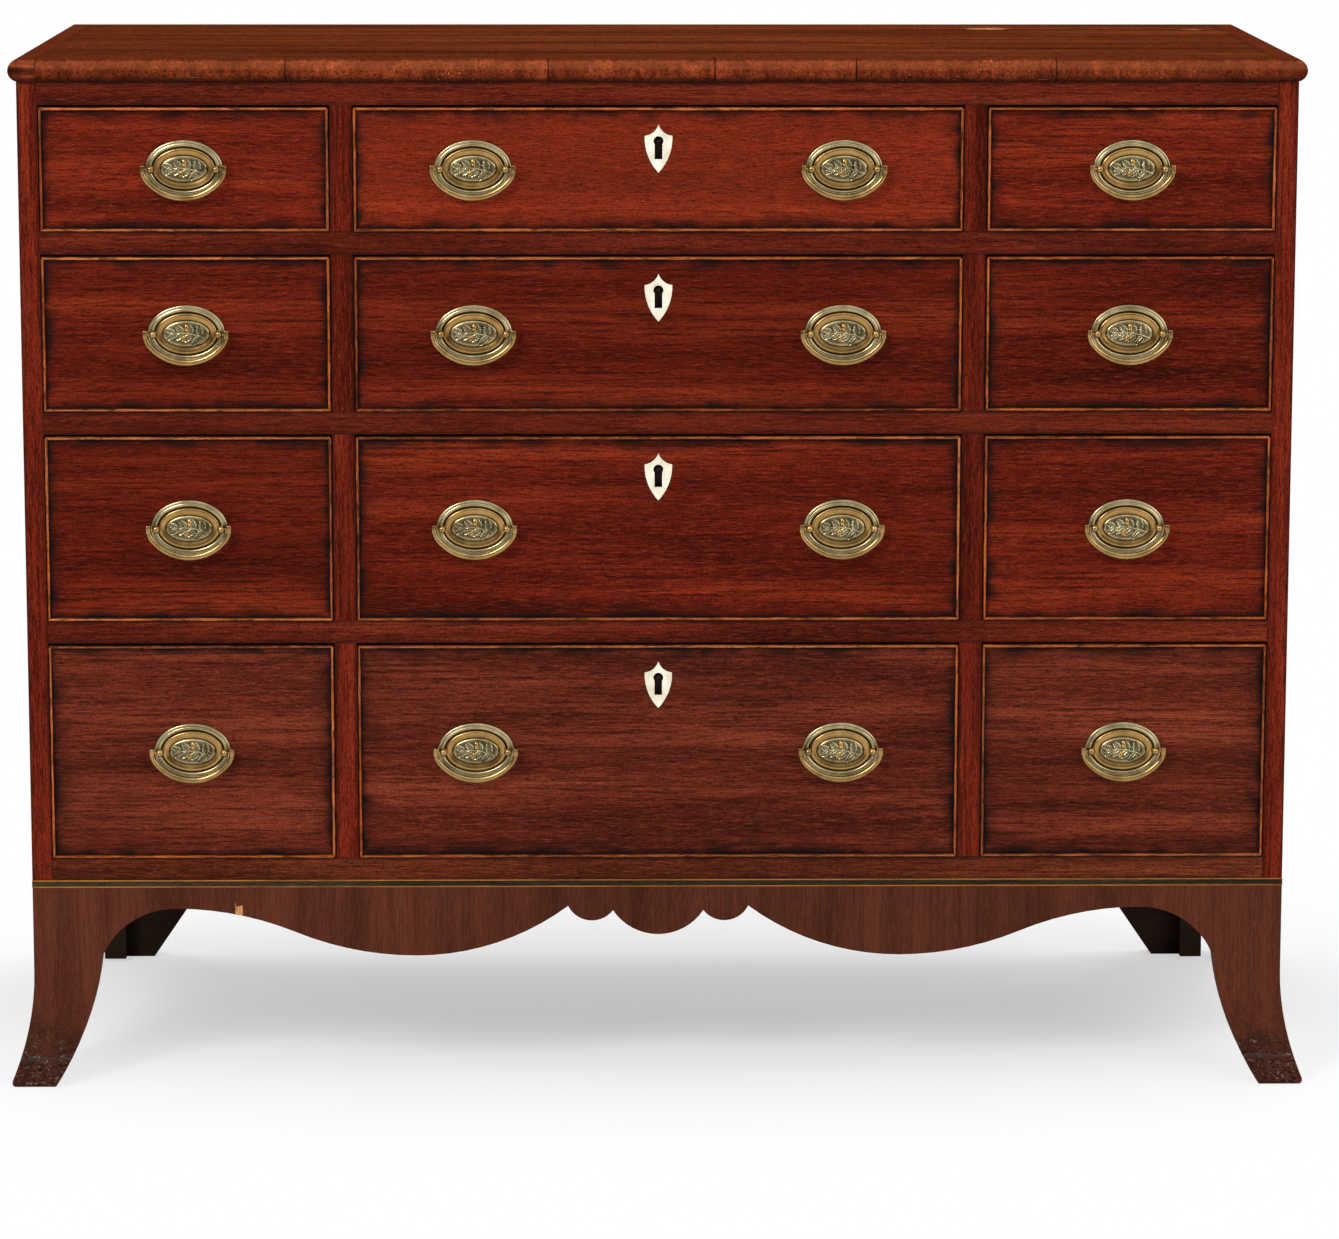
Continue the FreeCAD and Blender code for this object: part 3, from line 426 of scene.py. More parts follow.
print("steps of a wood", [name for name in vars(Wood) if not name.startswith("_")])

# %% [markdown]
# ## Rails, uprights and sides
# The narrow framing between the drawers is polished like them, with level grain in the rails
# and standing grain in the uprights. Every edge is darker, partly dirt and partly painted shade
# that deepens the lines at the drawer gaps. The lowest rail has gone browner. Apart from these few
# values all of it is the same, so one function makes the framing. The wide sides are quieter,
# with weaker streaks and hardly any shine.

# %% Framing and sides
FRONT_AXES, SIDE_AXES, TOP_AXES = (0, 2), (1, 2), (0, 1)
FINE_MOTTLE = (700.0, 0.78, 1.22)


def framing_finish(name, grain, reach, share, *shades):
    """Polished wood of the front's framing, darker towards its edges: partly dirt, partly painted shade at
    the drawer gaps.
    """
    finish = Wood(name, grain, *shades)
    finish.speckle(*FINE_MOTTLE)
    # Darker edges: partly dirt, partly painted shade that deepens the dark lines at the drawer gaps.
    finish.darken_edges(FRONT_AXES, reach, share, (34, 16, 12))
    finish.scuff(0.3, (176, 112, 76))
    return finish.polish()


rail_wood = framing_finish("mahogany_rails", "X", 5 * MM, 0.6,
                           (60, 15, 7), (98, 31, 16), (126, 48, 27))
low_rail_wood = framing_finish("mahogany_low_rail", "X", 5 * MM, 0.6,
                               (60, 21, 10), (98, 41, 22), (126, 60, 34))
upright_wood = framing_finish("mahogany_uprights", "Z", 4 * MM, 0.55,
                              (58, 12, 5), (98, 27, 13), (128, 44, 23))

side_finish = Wood("mahogany_sides", "Z", (72, 22, 10), (100, 34, 17), (122, 48, 26), streak=0.4)
side_finish.darken_edges(SIDE_AXES, 14 * MM, 0.5, (44, 20, 13))
side_finish.scuff(0.4, (170, 110, 76))
side_wood = side_finish.polish(level=0.015)
print("finishes", rail_wood.name, low_rail_wood.name, upright_wood.name, side_wood.name)

# %% [markdown]
# ## Grime inside the beads
# Two centuries of wax have gathered where a duster cannot reach, in the corner between each
# drawer front and its bead. Two layers do it: a brown shade over the last two centimetres
# and a black crust in the corner itself. The bottom drawers, which were kicked and washed
# most, have gone browner than the rest.

# %% Drawer fronts
CRUST_REACH = 11 * MM


def front_finish(name, halo, *shades):
    """Polished fronts with a brown shade as wide as the halo and a crust along the bead."""
    finish = Wood(name, "X", *shades)
    finish.scuff(0.3, (178, 110, 82))
    finish.speckle(*FINE_MOTTLE)
    finish.darken_edges(FRONT_AXES, halo, 0.5, (38, 14, 10))
    finish.darken_edges(FRONT_AXES, CRUST_REACH, 1.0, (18, 14, 13))
    return finish.polish()


upper_front_wood = front_finish("mahogany_upper_fronts", 20 * MM,
                                (52, 9, 4), (93, 23, 10), (130, 45, 21))
lower_front_wood = front_finish("mahogany_lower_fronts", 26 * MM,
                                (50, 14, 8), (89, 32, 19), (124, 54, 34))
print("grime on", upper_front_wood.name, lower_front_wood.name)

# %% [markdown]
# ## Beads and top
# The beads stand proud, so their polish has worn down to orange wood. The top has been dried
# and scuffed by use and is bare in two small spots. The moulding round it has no shine of its own:
# a painted highlight on the upper half of its nose and painted shade underneath stand in for the light.
# A band could be painted on, but here it only needs the height of a point, so it follows the moulding
# round all three sides.

# %% Beads and top
JOINT_DIRT = 1.3 * MM


def bead_finish(name, grain):
    """Orange wood with dark patches where the old polish has stayed."""
    finish = Wood(name, grain, (92, 38, 18), (166, 82, 40), (204, 116, 62), streak=0.3)
    patches = finish.noise(finish.stretch(60.0, 400.0, grain), finish.seed, 4.0)
    finish.stain(finish.span(patches, 0.52, 0.68, 0.0, 0.75), (48, 20, 12))
    finish.darken_edges(FRONT_AXES, JOINT_DIRT, 0.9, (26, 13, 9))
    return finish.polish()


bead_woods = {grain: bead_finish(f"bead_{grain.lower()}", grain) for grain in "XZ"}

# Middle and half size of each bare spot on the top, then its pale wood and its rim.
TOP_SPOTS = (((351 * MM, 200 * MM), (17 * MM, 14 * MM), (172, 118, 70), (108, 57, 31)),
             ((564 * MM, 190 * MM), (9 * MM, 7 * MM), (150, 98, 58), (104, 54, 29)))
ENDLESS = 1.0
top_finish = Wood("mahogany_top", "X", (54, 21, 10), (92, 39, 19), (122, 58, 29))
top_finish.speckle(300.0, 0.75, 1.25)
top_finish.scuff(0.9, (214, 164, 104))
for (x, y), (wide, deep), pale, rim in TOP_SPOTS:
    top_finish.bare_spot((x, y, cad_high.z), (wide, deep, ENDLESS), pale, rim)
top_finish.darken_edges(TOP_AXES, 10 * MM, 0.35, (52, 24, 13))
top_wood = top_finish.polish(level=0.0)
print("beads", len(bead_woods), "spots on the top", len(TOP_SPOTS))

# %% The moulding round the top
# Heights on its nose: where the painted shade underneath ends, where the painted highlight begins and
# ends, where the flat begins.
NOSE_SHADE, NOSE_FLAT = (992 * MM, 1001 * MM), (1012.4 * MM, 1013.7 * MM)
HIGHLIGHT_BEGINS, HIGHLIGHT_ENDS = (1002 * MM, 1007 * MM), (1011 * MM, 1013.4 * MM)


def moulding_finish(name, grain):
    """Short-grained wood whose figure runs up and down in little flames, with a painted highlight on the
    nose and painted shade underneath.
    """
    finish = Wood(name, grain, (60, 19, 9), (108, 43, 22), (142, 64, 34))
    flames = finish.noise(finish.stretch(40.0, 170.0, "Z"), finish.seed, 5.0)
    finish.colour = finish.shade(finish.colour, finish.span(flames, 0.32, 0.68, 0.72, 1.34))
    finish.speckle(420.0, 0.8, 1.22)
    height = finish.split(finish.place)[2]
    # Painted highlight: a lighter band along the crown of the nose stands in for the shine of the polish.
    painted_highlight = finish.calc("MULTIPLY", finish.span(height, *HIGHLIGHT_BEGINS, 0.0, 0.18),
                       finish.span(height, *HIGHLIGHT_ENDS, 1.0, 0.0))
    finish.stain(painted_highlight, (188, 106, 64))
    # Painted shade: the underside of the nose darkens towards its lower edge.
    finish.stain(finish.span(height, *NOSE_SHADE, 0.8, 0.0), (38, 18, 13))
    finish.stain(finish.span(height, *NOSE_FLAT, 0.0, 0.8), (84, 35, 17))
    finish.scuff(0.7, (214, 166, 116))
    along = 0 if grain == "Y" else 1
    finish.darken_edges((along, along), JOINT_DIRT, 0.9, (30, 14, 9))
    return finish.polish(level=0.0)


moulding_woods = {grain: moulding_finish(f"mahogany_moulding_{grain.lower()}", grain) for grain in "XY"}
print("mouldings", len(moulding_woods))

# %% [markdown]
# ## Aprons and feet
# The aprons are veneered with upright grain and browner, and a chip has come off at the edge
# of one arch. The toes, which brooms and shoes have knocked for two centuries, are dark, dull
# and chipped, with a crack round them. Everything low down hangs on the height of a point,
# shifted by a noise so that no border is a straight line.

# %% Aprons and worn toes
# Heights between which dirt and chips fade out, and how far their border wanders.
TOE_DIRT, TOE_CHIPS, TOE_WANDER = (15 * MM, 75 * MM), (18 * MM, 60 * MM), 30 * MM
CRACK_HEIGHT, CRACK_EDGE = (26 * MM, 31 * MM), (0.5 * MM, 1.6 * MM)
face_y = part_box("front_stiles")[0].y
ARCH_CHIP, ARCH_CHIP_HALF = (-414.5 * MM, face_y, 171 * MM), (4 * MM, ENDLESS, 8 * MM)


def apron_finish(name):
    """Brown veneer, dirty low down and knocked about at the toes."""
    finish = Wood(name, "Z", (62, 29, 19), (86, 43, 29), (104, 54, 36), streak=0.5, pore=0.35)
    finish.scuff(0.3, (160, 112, 84))
    ragged = finish.noise(finish.stretch(35.0, 35.0, "Z"), finish.seed, 4.0)
    grit = finish.noise(finish.stretch(300.0, 170.0, "Z"), finish.seed, 5.0, distortion=1.5)
    height = finish.split(finish.place)[2]
    low_down = finish.calc("ADD", height, finish.span(ragged, 0.2, 0.8, -TOE_WANDER, TOE_WANDER))
    dirty = finish.span(low_down, *TOE_DIRT, 0.75, 0.0)
    finish.stain(dirty, (42, 22, 16))
    chipped = finish.calc("MULTIPLY", finish.span(low_down, *TOE_CHIPS, 1.0, 0.0),
                          finish.span(ragged, 0.40, 0.55, 0.35, 1.0))
    chips = finish.ramp(grit, (0.40, paint(20, 15, 13)), (0.72, paint(158, 148, 142)),
                        (0.49, paint(74, 40, 29)), (0.60, paint(82, 44, 31)))
    finish.colour = finish.mix(chipped, finish.colour, chips)
    crack = finish.calc("SUBTRACT", height, finish.span(grit, 0.3, 0.7, *CRACK_HEIGHT))
    finish.stain(finish.span(finish.calc("ABSOLUTE", crack), *CRACK_EDGE, 0.7, 0.0), (66, 60, 57))
    rough = finish.calc("MULTIPLY", chipped, finish.calc("MULTIPLY", grit, 12.0))
    finish.relief = finish.calc("ADD", finish.relief, rough)
    finish.bare_spot(ARCH_CHIP, ARCH_CHIP_HALF, (198, 138, 92), (70, 38, 25))
    finish.gloss = finish.calc("ADD", finish.gloss, finish.calc("MULTIPLY", dirty, 0.2))
    return finish.polish()


apron_wood = apron_finish("mahogany_apron")
print("aprons", apron_wood.name)

# %% [markdown]
# ## The other woods
# The drawer linings are oak and the runners, dust boards and back are pine, left unpolished.
# The feet at the back and the blocks in the corners were stained nearly black. They use the
# same recipe with other colours and little polish, one finish for each direction in which
# their grain runs. The inlaid band has a strip of ebony between two lines of boxwood.

# %% Oak, pine and the inlay
def plain_woods(name, grains, shades, streak, pore, edge_darkening):
    """One unpolished finish for each direction of grain, dirty along all edges."""
    woods = {}
    for grain in grains:
        finish = Wood(f"{name}_{grain.lower()}", grain, *shades, streak=streak, pore=pore)
        for axes in (FRONT_AXES, SIDE_AXES, TOP_AXES):
            finish.darken_edges(axes, 3 * MM, edge_darkening, (48, 34, 24))
        woods[grain] = finish.polish(level=0.05)
    return woods


oak = plain_woods("oak", "XY", ((120, 76, 46), (166, 114, 72), (194, 144, 98)), 0.4, 0.5, 0.3)
pine = plain_woods("pine", "XYZ", ((120, 68, 36), (178, 118, 68), (206, 150, 98)), 0.75, 0.3, 0.5)
stained = plain_woods("stained", "XZ", ((18, 12, 10), (36, 24, 18), (56, 37, 28)), 0.5, 0.5, 0.3)
ebony = Wood("ebony", "X", (28, 22, 15), (46, 37, 25), (62, 50, 34)).polish()
boxwood = Wood("boxwood", "X", (104, 60, 24), (158, 98, 40), (178, 118, 54), pore=0.3).polish()
print("linings", len(oak), "carcase woods", len(pine), "stained", len(stained))

# %% [markdown]
# ## Brass, iron and bone
# Brass keeps a bright skin where hands and cloths rub it and goes brown-green in its
# hollows. The pressed plates carry two attributes: hollow, from 0 on a ridge to 1 in a
# groove, mixes the patina in, and silver says where the yellow has been polished away to a
# grey sheen. The escutcheons are bone: ivory white, slightly yellow in clouds, with
# hair-fine lines. Rusty iron and the painted shade line round the escutcheons are dark in two tones.

# %% Brass
def brass_finish(name, hollow, silver):
    """Old brass; hollow and silver are functions that give each place its patina and sheen."""
    finish = Finish(name)
    cloud = finish.noise(finish.stretch(60.0, 60.0, "X"), 3.0, 4.0)
    fine = finish.noise(finish.stretch(700.0, 700.0, "X"), 5.0, 2.0)
    gilt = finish.ramp(cloud, (0.3, paint(142, 107, 56)), (0.7, paint(190, 150, 90)))
    grey = finish.ramp(cloud, (0.3, paint(140, 128, 92)), (0.7, paint(202, 190, 148)))
    colour = finish.mix(silver(finish), gilt, grey)
    patina = finish.calc("ADD", finish.calc("MULTIPLY", hollow(finish), 0.92),
                         finish.span(fine, 0.55, 0.75, 0.0, 0.22))
    colour = finish.mix(patina, colour, paint(32, 27, 14))
    gloss = finish.calc("ADD", finish.span(cloud, 0.3, 0.7, 0.14, 0.26),
                        finish.calc("MULTIPLY", patina, 0.25))
    return finish.close(colour, gloss, fine, 0.03 * MM, Metallic=1.0)


def clouds(finish):
    return finish.calc("MULTIPLY", finish.noise(finish.stretch(180.0, 180.0, "X"), 9.0, 3.0), 0.3)


plate_brass = brass_finish("brass_pressed", lambda finish: finish.attribute("hollow"),
                           lambda finish: finish.attribute("silver"))
plain_brass = brass_finish("brass_cast", clouds, clouds)
print("brass", plate_brass.name, plain_brass.name)

# %% Iron, bone and the painted shade line
def crust_finish(name, scale, seed, detail, dark, pale, dull, **constants):
    """A dark surface in two tones, for iron and for painted shade; dull gives the roughness of both tones.
    """
    finish = Finish(name)
    lumps = finish.noise(finish.stretch(scale, scale, "X"), seed, detail)
    colour = finish.ramp(lumps, dark, pale)
    return finish.close(colour, finish.span(lumps, 0.3, 0.7, *dull), lumps, 0.1 * MM, **constants)


def bone_finish(name):
    finish = Finish(name)
    aged = finish.noise(finish.stretch(90.0, 90.0, "X"), 1.0, 4.0)
    hairs = finish.noise(finish.stretch(60.0, 1800.0, "Z"), 1.0, 2.0)
    colour = finish.ramp(aged, (0.3, paint(214, 202, 172)), (0.62, paint(240, 234, 216)))
    colour = finish.mix(finish.span(hairs, 0.62, 0.74, 0.0, 0.35), colour, paint(150, 128, 96))
    return finish.close(colour, finish.span(aged, 0.3, 0.7, 0.35, 0.5), hairs, 0.03 * MM,
                        Specular_IOR_Level=0.4)


old_iron = crust_finish("old_iron", 260.0, 2.0, 4.0, (0.35, paint(24, 22, 21)),
                        (0.65, paint(58, 42, 32)), (0.4, 0.7), Metallic=0.8)
bone = bone_finish("bone")
# Painted shade: near-black for the thin line round each escutcheon, standing in for the shadow of its gap.
painted_gap_shade = crust_finish("painted_gap_shade", 500.0, 1.0, 3.0, (0.3, paint(12, 9, 8)),
                        (0.7, paint(34, 22, 16)), (0.5, 0.8))
print("iron, bone and wax", old_iron.name, bone.name, painted_gap_shade.name)

# %% [markdown]
# ## The carcase
# Most boards only need rounded arrises and the right grain. The moulding round the top was
# glued on in short lengths with the grain running outwards, so its CAD bars are sawn into
# lengths here: the joints then show as fine lines and every length has its own tone. The
# toes have lost their sharp corners, so the aprons are rounded where they meet the floor.

# %% Saw the top's mouldings into lengths
def saw(board, axis, places):
    """Saws a board across an axis; every length is closed again."""
    lengths = []
    normal = Vector([1.0 if number == axis else 0.0 for number in range(3)])
    ends = [None, *places, None]
    for start, end in zip(ends, ends[1:]):
        length = board.copy()
        for place, keeps_above in ((start, True), (end, False)):
            if place is None:
                continue
            made = bmesh.ops.bisect_plane(
                length, geom=[*length.verts, *length.edges, *length.faces], plane_co=normal * place,
                plane_no=normal, clear_inner=keeps_above, clear_outer=not keeps_above)
            rim = [edge for edge in made["geom_cut"] if isinstance(edge, bmesh.types.BMEdge)]
            bmesh.ops.holes_fill(length, edges=rim)
        bmesh.ops.recalc_face_normals(length, faces=length.faces)
        lengths.append(length)
    board.free()
    return lengths


FRONT_JOINTS = [-358 * MM, -106 * MM, 54 * MM, 190 * MM, 382 * MM]
SIDE_JOINTS = [-110 * MM, 60 * MM]
left_bar, front_bar, right_bar = boards_of("top_mouldings")
lengths = [(length, moulding_woods["Y"]) for length in saw(front_bar, 0, FRONT_JOINTS)]
for bar in (left_bar, right_bar):
    lengths += [(length, moulding_woods["X"]) for length in saw(bar, 1, SIDE_JOINTS)]
make_piece("top_mouldings", "carcase", lengths, ["top_mouldings"], arris=0.25 * MM)
print("moulding lengths", len(lengths))

# %% Round the toes
TOE_ROUND, TOE_STEPS, TOE_DEEP = 8 * MM, 4, 20 * MM
SAME_LEVEL = 0.01 * MM


def round_toes(apron):
    """Rounds a foot's outer edges at the floor, alike on both sides of a mitre, which stays closed."""
    turns = [0.5 * math.pi * number / TOE_STEPS for number in range(TOE_STEPS + 1)]
    levels = [TOE_ROUND * (1 - math.cos(turn)) for turn in turns]
    for level in levels[1:]:
        bmesh.ops.bisect_plane(apron, geom=apron.verts[:] + apron.edges[:] + apron.faces[:],
                               plane_co=(0, 0, level), plane_no=(0, 0, 1))
    for level, turn in zip(levels, turns):
        inward = TOE_ROUND * (1 - math.sin(turn))
        ring = [vertex for vertex in apron.verts if abs(vertex.co.z - level) < SAME_LEVEL]
        outer_x = max(abs(vertex.co.x) for vertex in ring)
        outer_y = min(vertex.co.y for vertex in ring)
        for vertex in ring:
            share_x = max(0.0, 1 - (outer_x - abs(vertex.co.x)) / TOE_DEEP)
            share_y = max(0.0, 1 - (vertex.co.y - outer_y) / TOE_DEEP)
            vertex.co.x -= math.copysign(inward * share_x, vertex.co.x)
            vertex.co.y += inward * share_y


print("toes rounded by", TOE_ROUND)

# %% Boards of the carcase
CARCASE_BOARDS = {
    "mahogany": {
        "top_panel": top_wood, "left_side": side_wood, "right_side": side_wood,
        "front_stiles": upright_wood, "drawer_rails": rail_wood, "drawer_dividers": upright_wood,
        "front_apron": apron_wood, "side_aprons": apron_wood},
    "secondary_wood": {
        "drawer_runners": pine["Y"], "dust_boards": pine["X"], "guides_and_stops": pine["Y"],
        "back_boards": pine["Z"], "rear_feet": stained["X"], "foot_blocks": stained["Z"]},
}
LOWEST_RAIL = 230 * MM
# The fourth to the sixth strip in the band's node are the dark ones.
DARK_STRIPS = slice(3, 6)


def finish_board(board, finish):
    """Browner wood for the lowest rail and round toes for an apron; other boards stay as they are."""
    if finish == rail_wood and box_of(board)[1].z < LOWEST_RAIL:
        return board, low_rail_wood
    if finish == apron_wood:
        round_toes(board)
    return board, finish


for slot, nodes in CARCASE_BOARDS.items():
    for name, finish in nodes.items():
        parts = [finish_board(board, finish) for board in boards_of(name)]
        make_piece(name, "carcase", parts, [name], arris=0.4 * MM)
    print(slot, "pieces", len(nodes))

band = boards_of("base_inlay")
dark_strips = band[DARK_STRIPS]
make_piece("base_inlay", "carcase",
           [(board, ebony if board in dark_strips else boxwood) for board in band], ["base_inlay"],
           arris=0.12 * MM)
print("strips of inlay", len(band))

# %% [markdown]
# ## The drawers
# Each drawer is a mahogany front, oak linings joined with dovetails, and four beads mitred
# round the front. A bead is half round in front, so its two long front arrises are rounded
# far more than an ordinary arris; this is done on the chosen edges only, and the mitres
# stay tight.

# %% Dress one drawer
BEAD_ROUND, LONG_EDGE = 1.3 * MM, 20 * MM
ROWS = range(1, 5)
COLUMNS = ("left", "centre", "right")
# Tone of each front, row by row from the top and from left to right.
FRONT_TONES = {1: (0.62, 1.00, 0.60), 2: (0.30, 0.30, 0.35),
               3: (0.30, 0.42, 0.52), 4: (0.58, 0.48, 0.58)}


def round_bead(bead):
    """Rounds the two long arrises at the front of a bead."""
    front = box_of(bead)[0].y
    front_edges = [edge for edge in bead.edges if edge.calc_length() > LONG_EDGE
                   and all(abs(vertex.co.y - front) < SAME_LEVEL for vertex in edge.verts)]
    bmesh.ops.bevel(bead, geom=front_edges, offset=BEAD_ROUND, segments=4, profile=0.5, affect="EDGES")
    return bead


def dress_drawer(row, column):
    """Makes a drawer's front, linings and beads, which ride on the drawer."""
    label = f"row{row}_{column}"
    drawer = f"drawer_{label}"
    front, left_side, right_side, rear, bottom, *beads = boards_of(drawer)
    front_wood = lower_front_wood if row == ROWS[-1] else upper_front_wood
    make_piece(f"front_{label}", drawer, [(front, front_wood)], [drawer], arris=0.3 * MM,
               tone=FRONT_TONES[row][COLUMNS.index(column)])
    linings = [(left_side, oak["Y"]), (right_side, oak["Y"]), (rear, oak["X"]), (bottom, oak["X"])]
    make_piece(f"linings_{label}", drawer, linings, [drawer])
    bead_parts = [(round_bead(bead), bead_woods[grain]) for bead, grain in zip(beads, "XXZZ")]
    make_piece(f"beads_{label}", drawer, bead_parts, [drawer], arris=0.0)


for row in ROWS:
    for column in COLUMNS:
        dress_drawer(row, column)
print("drawers dressed", len(ROWS) * len(COLUMNS))

# %% [markdown]
# ## Pressed oval plates
# A plate is thin brass struck in a die: from its rim it rises over two beads, dips into a
# groove, swells to a smooth gilt oval and ends in a domed boss with a sprig. Every ring is
# the same oval made smaller, so the plate is a lathe profile carried round an ellipse. The
# profile also says how much patina each ring holds and where it has gone silvery.

# %% The plate's profile and skin
# Millimetres in from the rim, millimetres out from the drawer, patina and silver from 0 to 1.
PLATE_PROFILE = (
    (0.0, 0.0, 0.8, 0.5), (0.0, 0.9, 0.5, 0.8), (0.5, 1.5, 0.2, 0.9), (1.2, 1.9, 0.0, 0.9),
    (2.0, 1.9, 0.1, 0.9), (2.6, 1.5, 0.7, 0.9), (3.0, 1.5, 0.7, 0.9), (3.6, 2.0, 0.1, 0.9),
    (4.6, 2.2, 0.0, 0.8), (5.6, 1.9, 0.2, 0.7), (6.3, 1.3, 0.7, 0.4), (6.8, 0.8, 1.0, 0.0),
    (7.3, 0.8, 1.0, 0.0), (7.8, 1.6, 0.4, 0.0), (8.3, 2.4, 0.0, 0.1), (9.0, 2.7, 0.0, 0.1),
    (10.4, 2.6, 0.05, 0.0), (12.2, 2.2, 0.1, 0.0), (13.6, 1.9, 0.3, 0.0), (14.3, 1.7, 0.9, 0.0),
    (14.7, 1.8, 1.0, 0.2), (15.1, 2.6, 0.3, 0.6), (15.7, 3.3, 0.0, 0.8), (16.4, 3.5, 0.3, 0.8),
    (18.5, 3.9, 0.8, 0.8), (21.0, 4.2, 0.85, 0.8), (24.0, 4.4, 0.85, 0.8), (26.5, 4.45, 0.85, 0.8),
)
ROUND_STEPS = 96
plate_low, plate_high = box_of(boards_of("brasses_row1_left")[0])
PLATE_HALF = ((plate_high.x - plate_low.x) / 2, (plate_high.z - plate_low.z) / 2)


def plate_skin():
    """The plate facing +Z at the origin, with its patina and silver on two layers."""
    plate = bmesh.new()
    hollow, silver = (plate.verts.layers.float.new(label) for label in ("hollow", "silver"))
    rings = []
    for inset, height, dark, grey in PLATE_PROFILE:
        ring = []
        for number in range(ROUND_STEPS):
            turn = 2 * math.pi * number / ROUND_STEPS
            ring.append(plate.verts.new(((PLATE_HALF[0] - inset * MM) * math.cos(turn),
                                         (PLATE_HALF[1] - inset * MM) * math.sin(turn), height * MM)))
            ring[-1][hollow] = dark
            ring[-1][silver] = grey
        rings.append(ring)
    for outer, inner in zip(rings, rings[1:]):
        for here in range(ROUND_STEPS):
            after = (here + 1) % ROUND_STEPS
            plate.faces.new((outer[here], outer[after], inner[after], inner[here]))
    plate.faces.new(rings[-1])
    plate.faces.new(reversed(rings[0]))
    return plate


print("plate half axes", PLATE_HALF, "rings", len(PLATE_PROFILE))

# %% The plate's height at a place
NEARLY_FLAT, HALVINGS = 0.999, 24


def plate_height(x, y):
    """Height of the plate at a place, found by halving the inset until its oval passes there."""
    shallow, deep = 0.0, PLATE_HALF[1] * NEARLY_FLAT
    for _ in range(HALVINGS):
        inset = (shallow + deep) / 2
        outside = (x / (PLATE_HALF[0] - inset)) ** 2 + (y / (PLATE_HALF[1] - inset)) ** 2 > 1
        shallow, deep = (shallow, inset) if outside else (inset, deep)
    for (near, low, *_), (far, high, *_) in zip(PLATE_PROFILE[1:], PLATE_PROFILE[2:]):
        if shallow <= far * MM:
            return (low + (high - low) * (shallow / MM - near) / (far - near)) * MM
    return PLATE_PROFILE[-1][1] * MM


print("boss", plate_height(0.0, 0.0))

# %% [markdown]
# ## The sprig
# The boss carries a traditional sprig: a stem comes in from the right, oak leaves grow from
# it in pairs and two acorns sit in the middle. One leaf repeats along a curve, which is what
# Geometry Nodes are for. The tree takes the leaf as its geometry and asks for the number of
# pairs, the angle at which they stand off, how much they shrink towards the tip, three points
# of the stem, its radius and a finish. Its result becomes a plain mesh, which is then laid on
# the dome.

# %% Helpers for node trees
def new_tree(name, sockets):
    """A node tree with a geometry input, named inputs and a geometry output."""
    tree = bpy.data.node_groups.new(name, "GeometryNodeTree")
    for label, kind in (("Geometry", "NodeSocketGeometry"), *sockets):
        tree.interface.new_socket(label, in_out="INPUT", socket_type=kind)
    tree.interface.new_socket("Geometry", in_out="OUTPUT", socket_type="NodeSocketGeometry")
    return tree, tree.nodes.new("NodeGroupInput").outputs


def end_tree(tree, geometry, finish):
    """Every tree ends the same way: real geometry with its finish."""
    real = step(tree, "GeometryNodeRealizeInstances", {"Geometry": geometry})
    painted = step(tree, "GeometryNodeSetMaterial", {"Geometry": real, "Material": finish})
    output = tree.nodes.new("NodeGroupOutput")
    tree.links.new(painted, output.inputs[0])


def grow(tree, data, settings):
    """Runs a tree on a mesh or curve and gives back the result as a plain mesh."""
    host = bpy.data.objects.new(tree.name, data)
    bpy.context.collection.objects.link(host)
    modifier = host.modifiers.new(tree.name, "NODES")
    modifier.node_group = tree
    for item in tree.interface.items_tree:
        if item.in_out == "INPUT" and item.name in settings:
            modifier[item.identifier] = settings[item.name]
    depsgraph = bpy.context.evaluated_depsgraph_get()
    mesh = bpy.data.meshes.new_from_object(host.evaluated_get(depsgraph), depsgraph=depsgraph)
    host.modifiers.remove(modifier)
    bpy.data.objects.remove(host)
    return mesh


print("node trees so far", len(bpy.data.node_groups))

# %% One leaf
LEAF_LENGTH, LEAF_WIDTH, LEAF_RISE = 12.0 * MM, 7.8 * MM, 1.2 * MM
LEAF_STEPS, LEAF_SUNK, LEAF_STALK = 16, -0.4 * MM, 0.25 * MM
LOBES, LOBE_DEPTH = 4, 0.14
# Share of the half width, rise and patina across half a leaf, from the midrib to the edge.
LEAF_SECTION = ((0.0, 0.8, 0.1), (0.18, 0.35, 1.0), (0.42, 0.6, 0.6),
                (0.72, 1.0, 0.0), (0.88, 0.8, 0.0), (1.0, 0.0, 1.0))


def oak_leaf():
    """A lobed leaf along +X, closed below, with a raised midrib and rim and a dark hollow."""
    leaf = bmesh.new()
    hollow, silver = (leaf.verts.layers.float.new(label) for label in ("hollow", "silver"))
    section = [(-across, rise, dark) for across, rise, dark in reversed(LEAF_SECTION[1:])]
    section += LEAF_SECTION
    rings = []
    for number in range(LEAF_STEPS + 1):
        share = number / LEAF_STEPS
        lobes = 1 + LOBE_DEPTH * math.cos(share * 2 * LOBES * math.pi)
        half = LEAF_WIDTH / 2 * math.sin(math.pi * share ** 0.85) ** 0.7 * lobes + LEAF_STALK
        arch = 0.4 + 0.6 * math.sin(math.pi * share) ** 0.5
        ring = []
        for across, rise, dark in section:
            ring.append(leaf.verts.new((share * LEAF_LENGTH, across * half, LEAF_RISE * rise * arch)))
            ring[-1][hollow] = dark
        for side in (1, -1):
            ring.append(leaf.verts.new((share * LEAF_LENGTH, side * half, LEAF_SUNK)))
            ring[-1][hollow] = 1.0
        rings.append(ring)
    for near, far in zip(rings, rings[1:]):
        for here in range(len(near)):
            after = (here + 1) % len(near)
            leaf.faces.new((near[here], far[here], far[after], near[after]))
    leaf.faces.new(rings[0])
    leaf.faces.new(reversed(rings[-1]))
    for vertex in leaf.verts:
        vertex[silver] = 1.0
    mesh = bpy.data.meshes.new("oak_leaf")
    leaf.to_mesh(mesh)
    leaf.free()
    return mesh


leaf_master = oak_leaf()
print("leaf faces", len(leaf_master.polygons))

